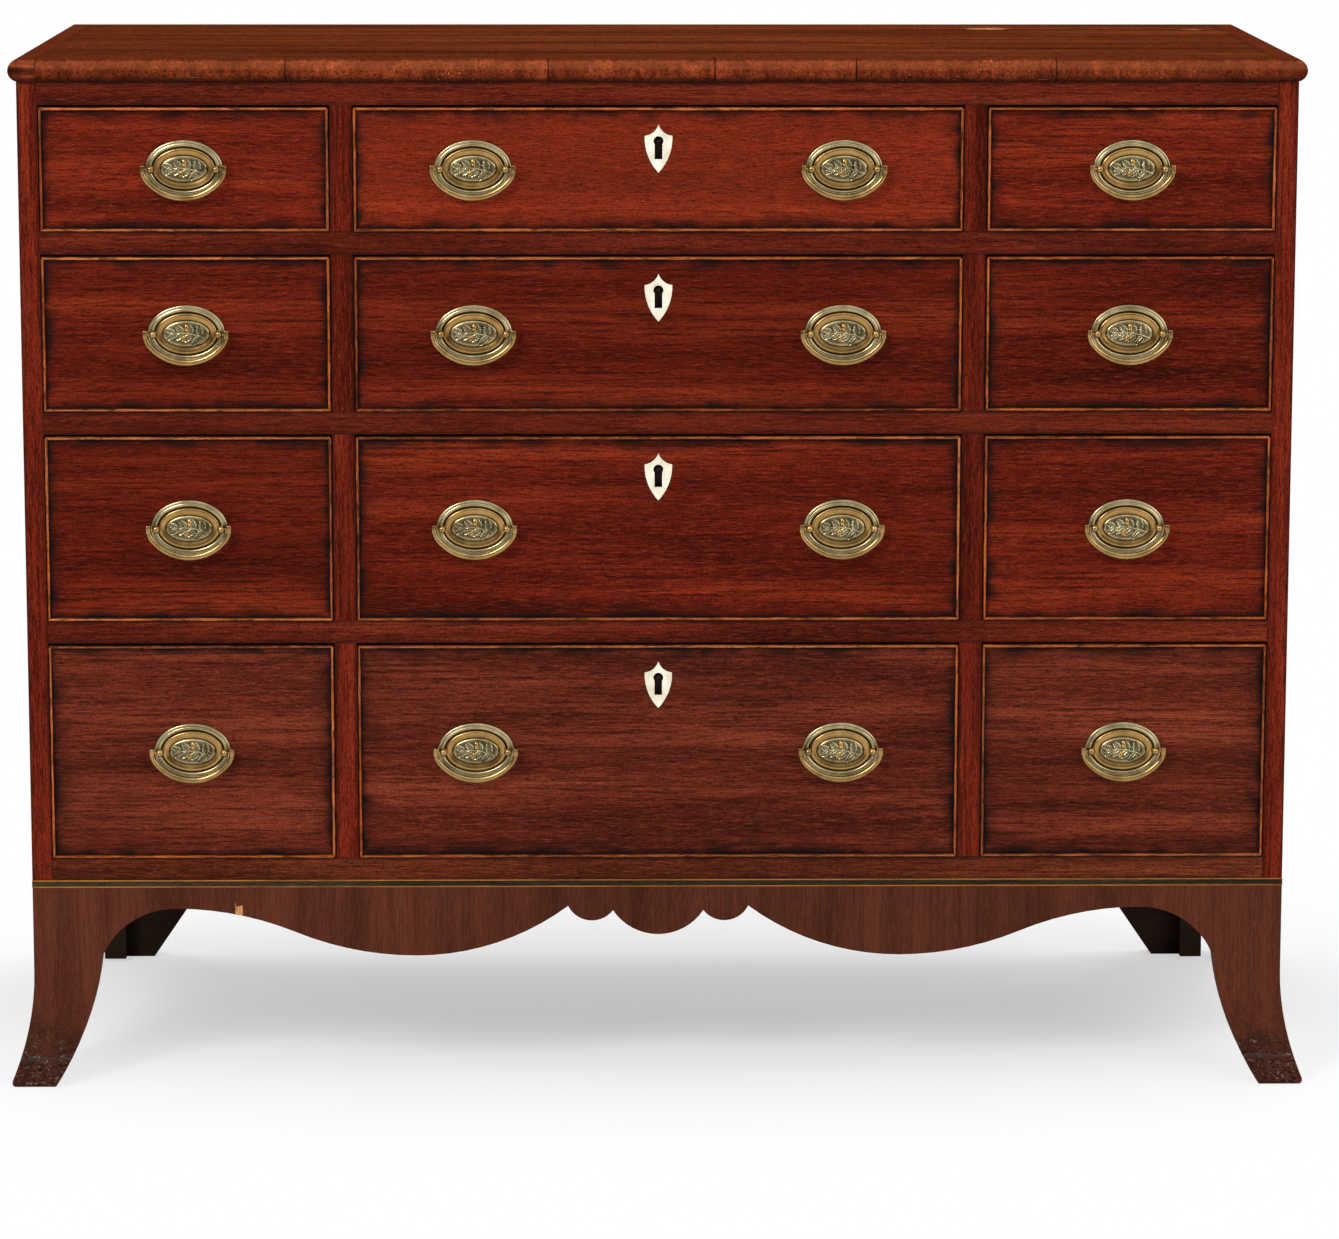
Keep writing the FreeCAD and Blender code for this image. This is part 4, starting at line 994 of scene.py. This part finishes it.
# %% Leaves along a stem
BARE_STEM, CLOSER_TIP, TWIG_SIDES = 0.22, -0.55, 8
sprig, given = new_tree("sprig", [("Pairs", "NodeSocketInt"), ("Spread", "NodeSocketFloat"),
                                  ("Shrink", "NodeSocketFloat"), ("Stem Start", "NodeSocketVector"),
                                  ("Stem Bend", "NodeSocketVector"), ("Stem Tip", "NodeSocketVector"),
                                  ("Stem Radius", "NodeSocketFloat"), ("Finish", "NodeSocketMaterial")])
stem = step(sprig, "GeometryNodeCurveQuadraticBezier",
            {"Start": given["Stem Start"], "Middle": given["Stem Bend"], "End": given["Stem Tip"]})
leafy = step(sprig, "GeometryNodeTrimCurve", {"Curve": stem, "Start": BARE_STEM})
buds = step(sprig, "GeometryNodeCurveToPoints", {"Curve": leafy, "Count": given["Pairs"]})
tangent = step(sprig, "ShaderNodeSeparateXYZ", {0: buds.node.outputs["Tangent"]}).node.outputs
heading = reckon(sprig, "ARCTAN2", tangent["Y"], tangent["X"])
index = step(sprig, "GeometryNodeInputIndex")
to_tip = reckon(sprig, "DIVIDE", index, reckon(sprig, "SUBTRACT", given["Pairs"], 1.0))
size = reckon(sprig, "SUBTRACT", 1.0, reckon(sprig, "MULTIPLY", to_tip, given["Shrink"]))
spread = reckon(sprig, "MULTIPLY", given["Spread"],
                reckon(sprig, "MULTIPLY_ADD", to_tip, CLOSER_TIP, 1.0))
growth = step(sprig, "GeometryNodeJoinGeometry")
for side in (1.0, -1.0):
    angle = step(sprig, "ShaderNodeCombineXYZ", {2: reckon(sprig, "MULTIPLY_ADD", spread, side, heading)})
    leaves = step(sprig, "GeometryNodeInstanceOnPoints",
                  {"Points": buds, "Instance": given["Geometry"], "Scale": size,
                   "Rotation": step(sprig, "FunctionNodeEulerToRotation", {0: angle})})
    sprig.links.new(leaves, growth.node.inputs[0])
round_twig = step(sprig, "GeometryNodeCurvePrimitiveCircle",
                  {"Resolution": TWIG_SIDES, "Radius": given["Stem Radius"]})
twig = step(sprig, "GeometryNodeCurveToMesh",
            {"Curve": stem, "Profile Curve": round_twig, "Fill Caps": True})
twig = step(sprig, "GeometryNodeStoreNamedAttribute", {"Geometry": twig, "Name": "silver", "Value": 1.0})
sprig.links.new(twig, growth.node.inputs[0])
end_tree(sprig, growth, given["Finish"])
leaf_mesh = grow(sprig, leaf_master, {
    "Pairs": 4, "Spread": math.radians(66), "Shrink": 0.15, "Stem Start": (20 * MM, -5 * MM, 0.0),
    "Stem Bend": (3 * MM, 2.5 * MM, 0.0), "Stem Tip": (-10.5 * MM, 0.5 * MM, 0.0),
    "Stem Radius": 0.7 * MM, "Finish": plate_brass})
print("sprig faces", len(leaf_mesh.polygons))

# %% Acorns, laid on the boss with the leaves
# Each acorn's place on the boss and its turn.
ACORNS = ((0.5 * MM, 6.2 * MM, 0.1), (-2.6 * MM, -5.2 * MM, 2.75))
NUT_RADIUS, NUT_SHAPE = 2.4 * MM, (1.0, 1.6, 0.7, 1.0)
CUP_RADIUS, CUP_SHAPE, CUP_MIDDLE = 2.7 * MM, (1.0, 0.6, 0.72, 1.0), (0, -2.6 * MM, 0)


def acorn(x, y, turn):
    """A gilt nut and its cup, lying on the boss at a place and turned."""
    nut = bmesh.new()
    bmesh.ops.create_icosphere(nut, subdivisions=3, radius=NUT_RADIUS, matrix=Matrix.Diagonal(NUT_SHAPE))
    bmesh.ops.create_icosphere(nut, subdivisions=2, radius=CUP_RADIUS,
                               matrix=Matrix.Translation(CUP_MIDDLE) @ Matrix.Diagonal(CUP_SHAPE))
    bmesh.ops.transform(nut, verts=nut.verts,
                        matrix=Matrix.Translation((x, y, 0)) @ Matrix.Rotation(turn, 4, "Z"))
    return nut


leaf_blades = bmesh.new()
leaf_blades.from_mesh(leaf_mesh)
relief = [leaf_blades, *(acorn(*where) for where in ACORNS)]
for detail in relief:
    for vertex in detail.verts:
        vertex.co.z += plate_height(vertex.co.x, vertex.co.y)
print("relief pieces", len(relief))

# %% [markdown]
# ## Handles in place
# Each handle is found from its bail in the CAD frame: the bail's box gives the middle and,
# one ear's height below its top, the pivot. Plate, sprig, posts and nuts ride on the drawer;
# posts and nuts are the CAD's own turned solids. A wide drawer's lock comes after them.

# %% Plates, posts, nuts and locks
EAR_RISE = 4 * MM
# In the CAD node a handle is a plate, two posts and two nuts.
SOLIDS_PER_HANDLE = 5
STAND_UP = Matrix.Rotation(math.radians(90), 4, "X")


def handle_places(label):
    """Pivot middles of the handles on one drawer, on the drawer's face."""
    names = [name for name in sorted(frame["nodes"]) if name.startswith(f"bail_{label}")]
    boxes = [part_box(name) for name in names]
    return [Vector(((low.x + high.x) / 2, face_y, high.z - EAR_RISE)) for low, high in boxes]


def moved(board, matrix):
    """A copy of a board, carried to another place."""
    copy = board.copy()
    bmesh.ops.transform(copy, verts=copy.verts, matrix=matrix)
    return copy


def dress_brasses(row, column):
    """Makes the brasses of one drawer and gives back the solids of its lock, if it has one."""
    label = f"row{row}_{column}"
    places = handle_places(label)
    solids = boards_of(f"brasses_{label}")
    parts = []
    for number, place in enumerate(places):
        stand = Matrix.Translation(place) @ STAND_UP
        parts += [(moved(board, stand), plate_brass) for board in (plate_master, *relief)]
        plate_number = number * SOLIDS_PER_HANDLE
        posts_and_nuts = solids[plate_number + 1:plate_number + SOLIDS_PER_HANDLE]
        parts += [(board, plain_brass) for board in posts_and_nuts]
    make_piece(f"brasses_{label}", f"drawer_{label}", parts, [f"brasses_{label}"],
               arris=0.0, smooth=45)
    return solids[len(places) * SOLIDS_PER_HANDLE:]


plate_master = plate_skin()
lock_boxes = {}
for row in ROWS:
    for column in COLUMNS:
        lock = dress_brasses(row, column)
        if lock:
            lock_boxes[row] = box_of(lock[0])
            make_piece(f"lock_row{row}", f"drawer_row{row}_{column}",
                       [(board, old_iron) for board in lock], [f"brasses_row{row}_{column}"],
                       arris=0.3 * MM)
print("brasses on", len(ROWS) * len(COLUMNS), "drawers, locks on", len(lock_boxes))

# %% [markdown]
# ## Bails
# A bail is a cast bar that hangs from two pivots and follows the plate's lower edge: a tight
# bend below each ear and one long bend between. The route is drawn as a curve from those
# three arcs, and a node tree sweeps a flattened bar along it that swells towards the middle.
# Squared ears and pivot pins finish the ends.

# %% The bail's route
BAIL_HALF, BAIL_DROP, BAIL_BEND = 39.2 * MM, 27.7 * MM, 18 * MM
BEND_STEPS = 12
long_bend = (BAIL_HALF**2 + BAIL_DROP**2 - 2 * BAIL_HALF * BAIL_BEND) / (2 * (BAIL_DROP - BAIL_BEND))


def arc(middle_x, middle_z, radius, angles):
    return [(middle_x + radius * math.cos(angle), middle_z + radius * math.sin(angle)) for angle in angles]


def bail_route():
    """Points of the right half from the lowest place to the ear; the left half mirrors them."""
    long_start = -math.pi / 2
    turn_end = -(math.pi / 2 - math.atan2(BAIL_HALF - BAIL_BEND, long_bend - BAIL_DROP))
    long_turns = [long_start + (turn_end - long_start) * n / BEND_STEPS for n in range(BEND_STEPS)]
    short_turns = [turn_end * (1 - n / BEND_STEPS) for n in range(BEND_STEPS + 1)]
    right = arc(0.0, long_bend - BAIL_DROP, long_bend, long_turns)
    right += arc(BAIL_HALF - BAIL_BEND, 0.0, BAIL_BEND, short_turns)
    return [(-x, z) for x, z in reversed(right[1:])] + right


route = bpy.data.curves.new("bail_route", "CURVE")
route.dimensions = "3D"
spline = route.splines.new("POLY")
points = bail_route()
spline.points.add(len(points) - 1)
for point, (x, z) in zip(spline.points, points):
    point.co = (x, 0.0, z, 1.0)
print("long bend", long_bend, "points", len(points))

# %% A bar along the route
sweep, given = new_tree("bail_bar", [("Bar Radius", "NodeSocketFloat"), ("Swell", "NodeSocketFloat"),
                                     ("Flatness", "NodeSocketVector"), ("Sides", "NodeSocketInt"),
                                     ("Finish", "NodeSocketMaterial")])
along = step(sweep, "GeometryNodeSplineParameter")
wave = reckon(sweep, "SINE", reckon(sweep, "MULTIPLY", along, math.pi))
swell = reckon(sweep, "MULTIPLY_ADD", wave, given["Swell"], 1.0)
ring = step(sweep, "GeometryNodeCurvePrimitiveCircle",
            {"Resolution": given["Sides"], "Radius": given["Bar Radius"]})
flat_ring = step(sweep, "GeometryNodeTransform", {"Geometry": ring, "Scale": given["Flatness"]})
bar = step(sweep, "GeometryNodeCurveToMesh", {"Curve": given["Geometry"], "Profile Curve": flat_ring,
                                              "Scale": swell, "Fill Caps": True})
end_tree(sweep, bar, given["Finish"])
bail_mesh = grow(sweep, route, {"Bar Radius": 2.1 * MM, "Swell": 0.28, "Flatness": (0.85, 1.12, 1.0),
                                "Sides": 16, "Finish": plain_brass})
print("bail bar faces", len(bail_mesh.polygons), "lowest", min(v.co.z for v in bail_mesh.vertices))

# %% Ears and pins, one bail for each body
BAIL_REACH = 9.5 * MM
EAR_WIDE, EAR_DEEP, EAR_LOW, EAR_ROUND = 4.6 * MM, 4.4 * MM, -4.4 * MM, 1.1 * MM
PIN_RADIUS, PIN_END = 1.2 * MM, 32.1 * MM


def ear_and_pin(side):
    """A squared ear with rounded arrises and the pin that runs from it into the post."""
    end = bmesh.new()
    middle = Vector((side * BAIL_HALF, 0.0, (EAR_RISE + EAR_LOW) / 2))
    bmesh.ops.create_cube(end, matrix=Matrix.Translation(middle)
                          @ Matrix.Diagonal((EAR_WIDE, EAR_DEEP, EAR_RISE - EAR_LOW, 1.0)))
    bmesh.ops.bevel(end, geom=end.edges[:], offset=EAR_ROUND, segments=4, profile=0.5, affect="EDGES")
    pin_middle = Vector((side * (BAIL_HALF + PIN_END) / 2, 0.0, 0.0))
    lie_down = Matrix.Translation(pin_middle) @ Matrix.Rotation(math.radians(90), 4, "Y")
    bmesh.ops.create_cone(end, cap_ends=True, segments=16, radius1=PIN_RADIUS, radius2=PIN_RADIUS,
                          depth=BAIL_HALF - PIN_END, matrix=lie_down)
    return end


bail_bar = bmesh.new()
bail_bar.from_mesh(bail_mesh)
bail_parts = [bail_bar, ear_and_pin(-1), ear_and_pin(1)]
bail_names = [name for name in sorted(frame["nodes"]) if name.startswith("bail_")]
for name in bail_names:
    low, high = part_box(name)
    pivot = Vector(((low.x + high.x) / 2, face_y - BAIL_REACH, high.z - EAR_RISE))
    parts = [(moved(board, Matrix.Translation(pivot)), plain_brass) for board in bail_parts]
    make_piece(name, name, parts, [name], arris=0.0, smooth=40)
print("bails", len(bail_names))

# %% [markdown]
# ## Escutcheons
# The bone shields are let in almost flush. A fine dark outline round them is painted shade for
# the gap at their edge, made here as a thin copy of the shield that is a little larger and lies
# under it, so only its rim shows.

# %% Bone shields and their outlines
SHADE_LINE_MARGIN, SHADE_LINE_FILM = 0.55 * MM, 0.08 * MM
for row in ROWS:
    name, body = f"escutcheon_row{row}", f"drawer_row{row}_centre"
    shield, = boards_of(name)
    low, high = box_of(shield)
    middle, half = (low + high) / 2, (high - low) / 2
    outline = shield.copy()
    for vertex in outline.verts:
        for axis in FRONT_AXES:
            vertex.co[axis] += (vertex.co[axis] - middle[axis]) / half[axis] * SHADE_LINE_MARGIN
        vertex.co.y = face_y - SHADE_LINE_FILM if vertex.co.y < middle.y else face_y + SHADE_LINE_FILM
    make_piece(name, body, [(shield, bone)], [name], arris=0.15 * MM)
    # Painted shade line round the shield.
    make_piece(f"shade_line_row{row}", body, [(outline, painted_gap_shade)], arris=0.0)
print("escutcheons", len(ROWS))

# %% [markdown]
# ## Nails and screws
# The back boards are nailed to the carcase, each lock is held by four screws, and one nail
# holds the inlaid band at the right. All are grids of one small head, the last a grid of
# one, so a single tree with a few sizes makes them all.

# %% A grid of heads
HEAD_RISE, HEAD_TAPER = 0.8 * MM, 0.55
heads, given = new_tree("grid_of_heads", [("Columns", "NodeSocketInt"), ("Rows", "NodeSocketInt"),
                                          ("Width", "NodeSocketFloat"), ("Height", "NodeSocketFloat"),
                                          ("Finish", "NodeSocketMaterial")])
grid = step(heads, "GeometryNodeMeshGrid", {"Size X": given["Width"], "Size Y": given["Height"],
                                            "Vertices X": given["Columns"], "Vertices Y": given["Rows"]})
placed = step(heads, "GeometryNodeInstanceOnPoints", {"Points": grid, "Instance": given["Geometry"]})
end_tree(heads, placed, given["Finish"])


def head(radius):
    """A low domed head facing +Z."""
    dome = bmesh.new()
    bmesh.ops.create_cone(dome, cap_ends=True, segments=10, radius1=radius, radius2=radius * HEAD_TAPER,
                          depth=HEAD_RISE)
    mesh = bpy.data.meshes.new("head")
    dome.to_mesh(mesh)
    dome.free()
    return mesh


def heads_on(name, body, matrix, radius, settings):
    """A grid of iron heads, turned and carried to its place on a body."""
    mesh = grow(heads, head(radius), {**settings, "Finish": old_iron})
    mesh.transform(matrix)
    return place_piece(name, body, mesh)


print("sockets of the grid", [item.name for item in heads.interface.items_tree])

# %% Nails in the back and in the band
NAIL_ROWS, NAIL_INSET, NAIL_RADIUS = 3, 15 * MM, 2.4 * MM
FACE_BACK = Matrix.Rotation(math.radians(-90), 4, "X")
back_low, back_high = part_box("back_boards")
back_size = back_high - back_low
back_columns = 2 * len(boards_of("back_boards"))
back_middle = Vector((0.0, back_high.y, (back_low.z + back_high.z) / 2))
heads_on("back_nails", "carcase", Matrix.Translation(back_middle) @ FACE_BACK,
         NAIL_RADIUS, {"Columns": back_columns, "Rows": NAIL_ROWS,
                       "Width": back_size.x * (1 - 1 / back_columns),
                       "Height": back_size.z - 2 * NAIL_INSET})

BAND_NAIL, BAND_NAIL_RADIUS = Vector((592 * MM, face_y, 203 * MM)), 1.7 * MM
heads_on("band_nail", "carcase", Matrix.Translation(BAND_NAIL) @ STAND_UP, BAND_NAIL_RADIUS,
         {"Columns": 1, "Rows": 1})
print("nails in the back", back_columns * NAIL_ROWS, "and in the band 1")

# %% Lock screws
SCREW_INSET, SCREW_SPAN, SCREW_RADIUS = 3 * MM, 40 * MM, 2 * MM
for row, (low, high) in lock_boxes.items():
    middle = Vector(((low.x + high.x) / 2, high.y, low.z + SCREW_INSET + SCREW_SPAN / 2))
    heads_on(f"lock_screws_row{row}", f"drawer_row{row}_centre",
             Matrix.Translation(middle) @ FACE_BACK, SCREW_RADIUS,
             {"Columns": 2, "Rows": 2, "Width": high.x - low.x - 2 * SCREW_INSET, "Height": SCREW_SPAN})
print("locks with screws", len(lock_boxes))

# %% [markdown]
# ## Studio
# The chest stands on a pale floor in soft light: one large lamp high on the left, a weaker
# one on the right, one overhead and one behind. The world is white where the camera looks,
# while polished wood and brass see a studio that is white above and dimmer towards the
# horizon, which keeps the mahogany deep. Far away the floor fades into the white world.

# %% Floor
FLOOR_REACH = 40.0
SHADE_MIDDLE, SHADE_WIDE = (0.0, -0.12, 0.0), (0.45, 1.0, 1.0)
FADE_START, FADE_END, NEAR_WHITE = 0.1, 0.7, 0.42
WHITE = (1.0, 1.0, 1.0, 1.0)


def floor_finish(name):
    """Pale floor that keeps the shadow and fades to white away from the chest."""
    finish = Finish(name)
    sockets = finish.shader.inputs
    sockets["Base Color"].default_value = paint(246, 246, 247)
    sockets["Roughness"].default_value = 0.9
    sockets["Specular IOR Level"].default_value = 0.1
    oval = finish.add("ShaderNodeMapping", 0, {"Vector": finish.place, "Location": SHADE_MIDDLE,
                                               "Scale": SHADE_WIDE})
    distance = finish.add("ShaderNodeVectorMath", "Value", {0: oval}, operation="LENGTH")
    fade = finish.calc("MULTIPLY", finish.span(distance, FADE_START, FADE_END, NEAR_WHITE, 1.0),
                       finish.add("ShaderNodeLightPath", "Is Camera Ray"))
    glow = finish.add("ShaderNodeEmission", 0, {"Color": WHITE})
    blend = finish.add("ShaderNodeMixShader", 0, {0: fade, 1: finish.shader.outputs[0], 2: glow})
    feed(finish.tree, finish.tree.nodes["Material Output"].inputs["Surface"], blend)
    return finish.material


floor_mesh = bpy.data.meshes.new("floor")
floor_corners = [(-1, -1, 0), (1, -1, 0), (1, 1, 0), (-1, 1, 0)]
floor_mesh.from_pydata(floor_corners, [], [(0, 1, 2, 3)])
floor_mesh.transform(Matrix.Scale(FLOOR_REACH, 4))
floor_mesh.materials.append(floor_finish("studio_floor"))
floor = bpy.data.objects.new("floor", floor_mesh)
bpy.context.collection.objects.link(floor)
print("floor reaches", FLOOR_REACH)

# %% World
AMBIENT, DIM_HORIZON, PALE_ZENITH = 0.55, 0.12, 1.3
HORIZON_UP, ZENITH_UP = 0.05, 0.7
world = bpy.data.worlds.new("studio")
world.use_nodes = True
sky = world.node_tree
upward = step(sky, "ShaderNodeSeparateXYZ", {0: step(sky, "ShaderNodeTexCoord")}, "Z")
mirrored = step(sky, "ShaderNodeMapRange", {"Value": upward, "From Min": HORIZON_UP, "From Max": ZENITH_UP,
                                            "To Min": DIM_HORIZON, "To Max": PALE_ZENITH})
rays = sky.nodes.new("ShaderNodeLightPath").outputs
shiny = reckon(sky, "MAXIMUM", rays["Is Glossy Ray"], rays["Is Transmission Ray"])
level = reckon(sky, "MULTIPLY_ADD", shiny, reckon(sky, "SUBTRACT", mirrored, AMBIENT), AMBIENT)
level = reckon(sky, "MAXIMUM", level, rays["Is Camera Ray"])
sky.links.new(level, sky.nodes["Background"].inputs["Strength"])
sky.nodes["Background"].inputs["Color"].default_value = WHITE
bpy.context.scene.world = world
print("world", world.name, "ambient", AMBIENT)

# %% Lamps
AIM = Vector((0.0, 0.0, 0.5))
# Place, size and power of each lamp.
LAMPS = {"key": ((-2.2, -3.2, 3.1), 1.4, 95.0), "fill": ((2.8, -3.0, 1.8), 2.0, 35.0),
         "overhead": ((0.3, 0.6, 3.4), 2.0, 45.0), "behind": ((1.5, 4.0, 2.6), 2.5, 40.0)}
for name, (place, size, power) in LAMPS.items():
    lamp = bpy.data.lights.new(name, "AREA")
    lamp.size = size
    lamp.energy = power
    holder = bpy.data.objects.new(name, lamp)
    holder.location = place
    holder.rotation_euler = (AIM - Vector(place)).to_track_quat("-Z", "Y").to_euler()
    bpy.context.collection.objects.link(holder)
print("lamps", list(LAMPS))

# %% [markdown]
# ## Camera
# The photograph was taken with a long lens, from a little above the top and almost straight
# in front. Place and angles come from fitting a camera to corners of the chest. A small lens
# shift lets the camera tilt a little less, so upright lines stay more nearly parallel.

# %% Camera
CAMERA_PLACE = (-0.0485, -4.9602, 1.3463)
YAW, PITCH, ROLL = 0.722, -9.326, 0.048
SENSOR_WIDTH, FOCAL_LENGTH, SHIFT = 36.0, 131.64, -0.08
lens = bpy.data.cameras.new("camera")
lens.sensor_width = SENSOR_WIDTH
lens.lens = FOCAL_LENGTH
lens.shift_y = SHIFT
camera = bpy.data.objects.new("camera", lens)
turns = [Matrix.Rotation(math.radians(angle), 4, axis)
         for angle, axis in ((-YAW, "Z"), (90 + PITCH, "X"), (ROLL, "Z"))]
camera.matrix_world = Matrix.Translation(CAMERA_PLACE) @ turns[0] @ turns[1] @ turns[2]
bpy.context.collection.objects.link(camera)
bpy.context.scene.camera = camera
bpy.context.scene.view_settings.view_transform = "Standard"
print("lens", lens.lens, "mm")

# %% [markdown] ## The last look Dressing must not make the chest larger than its CAD model.
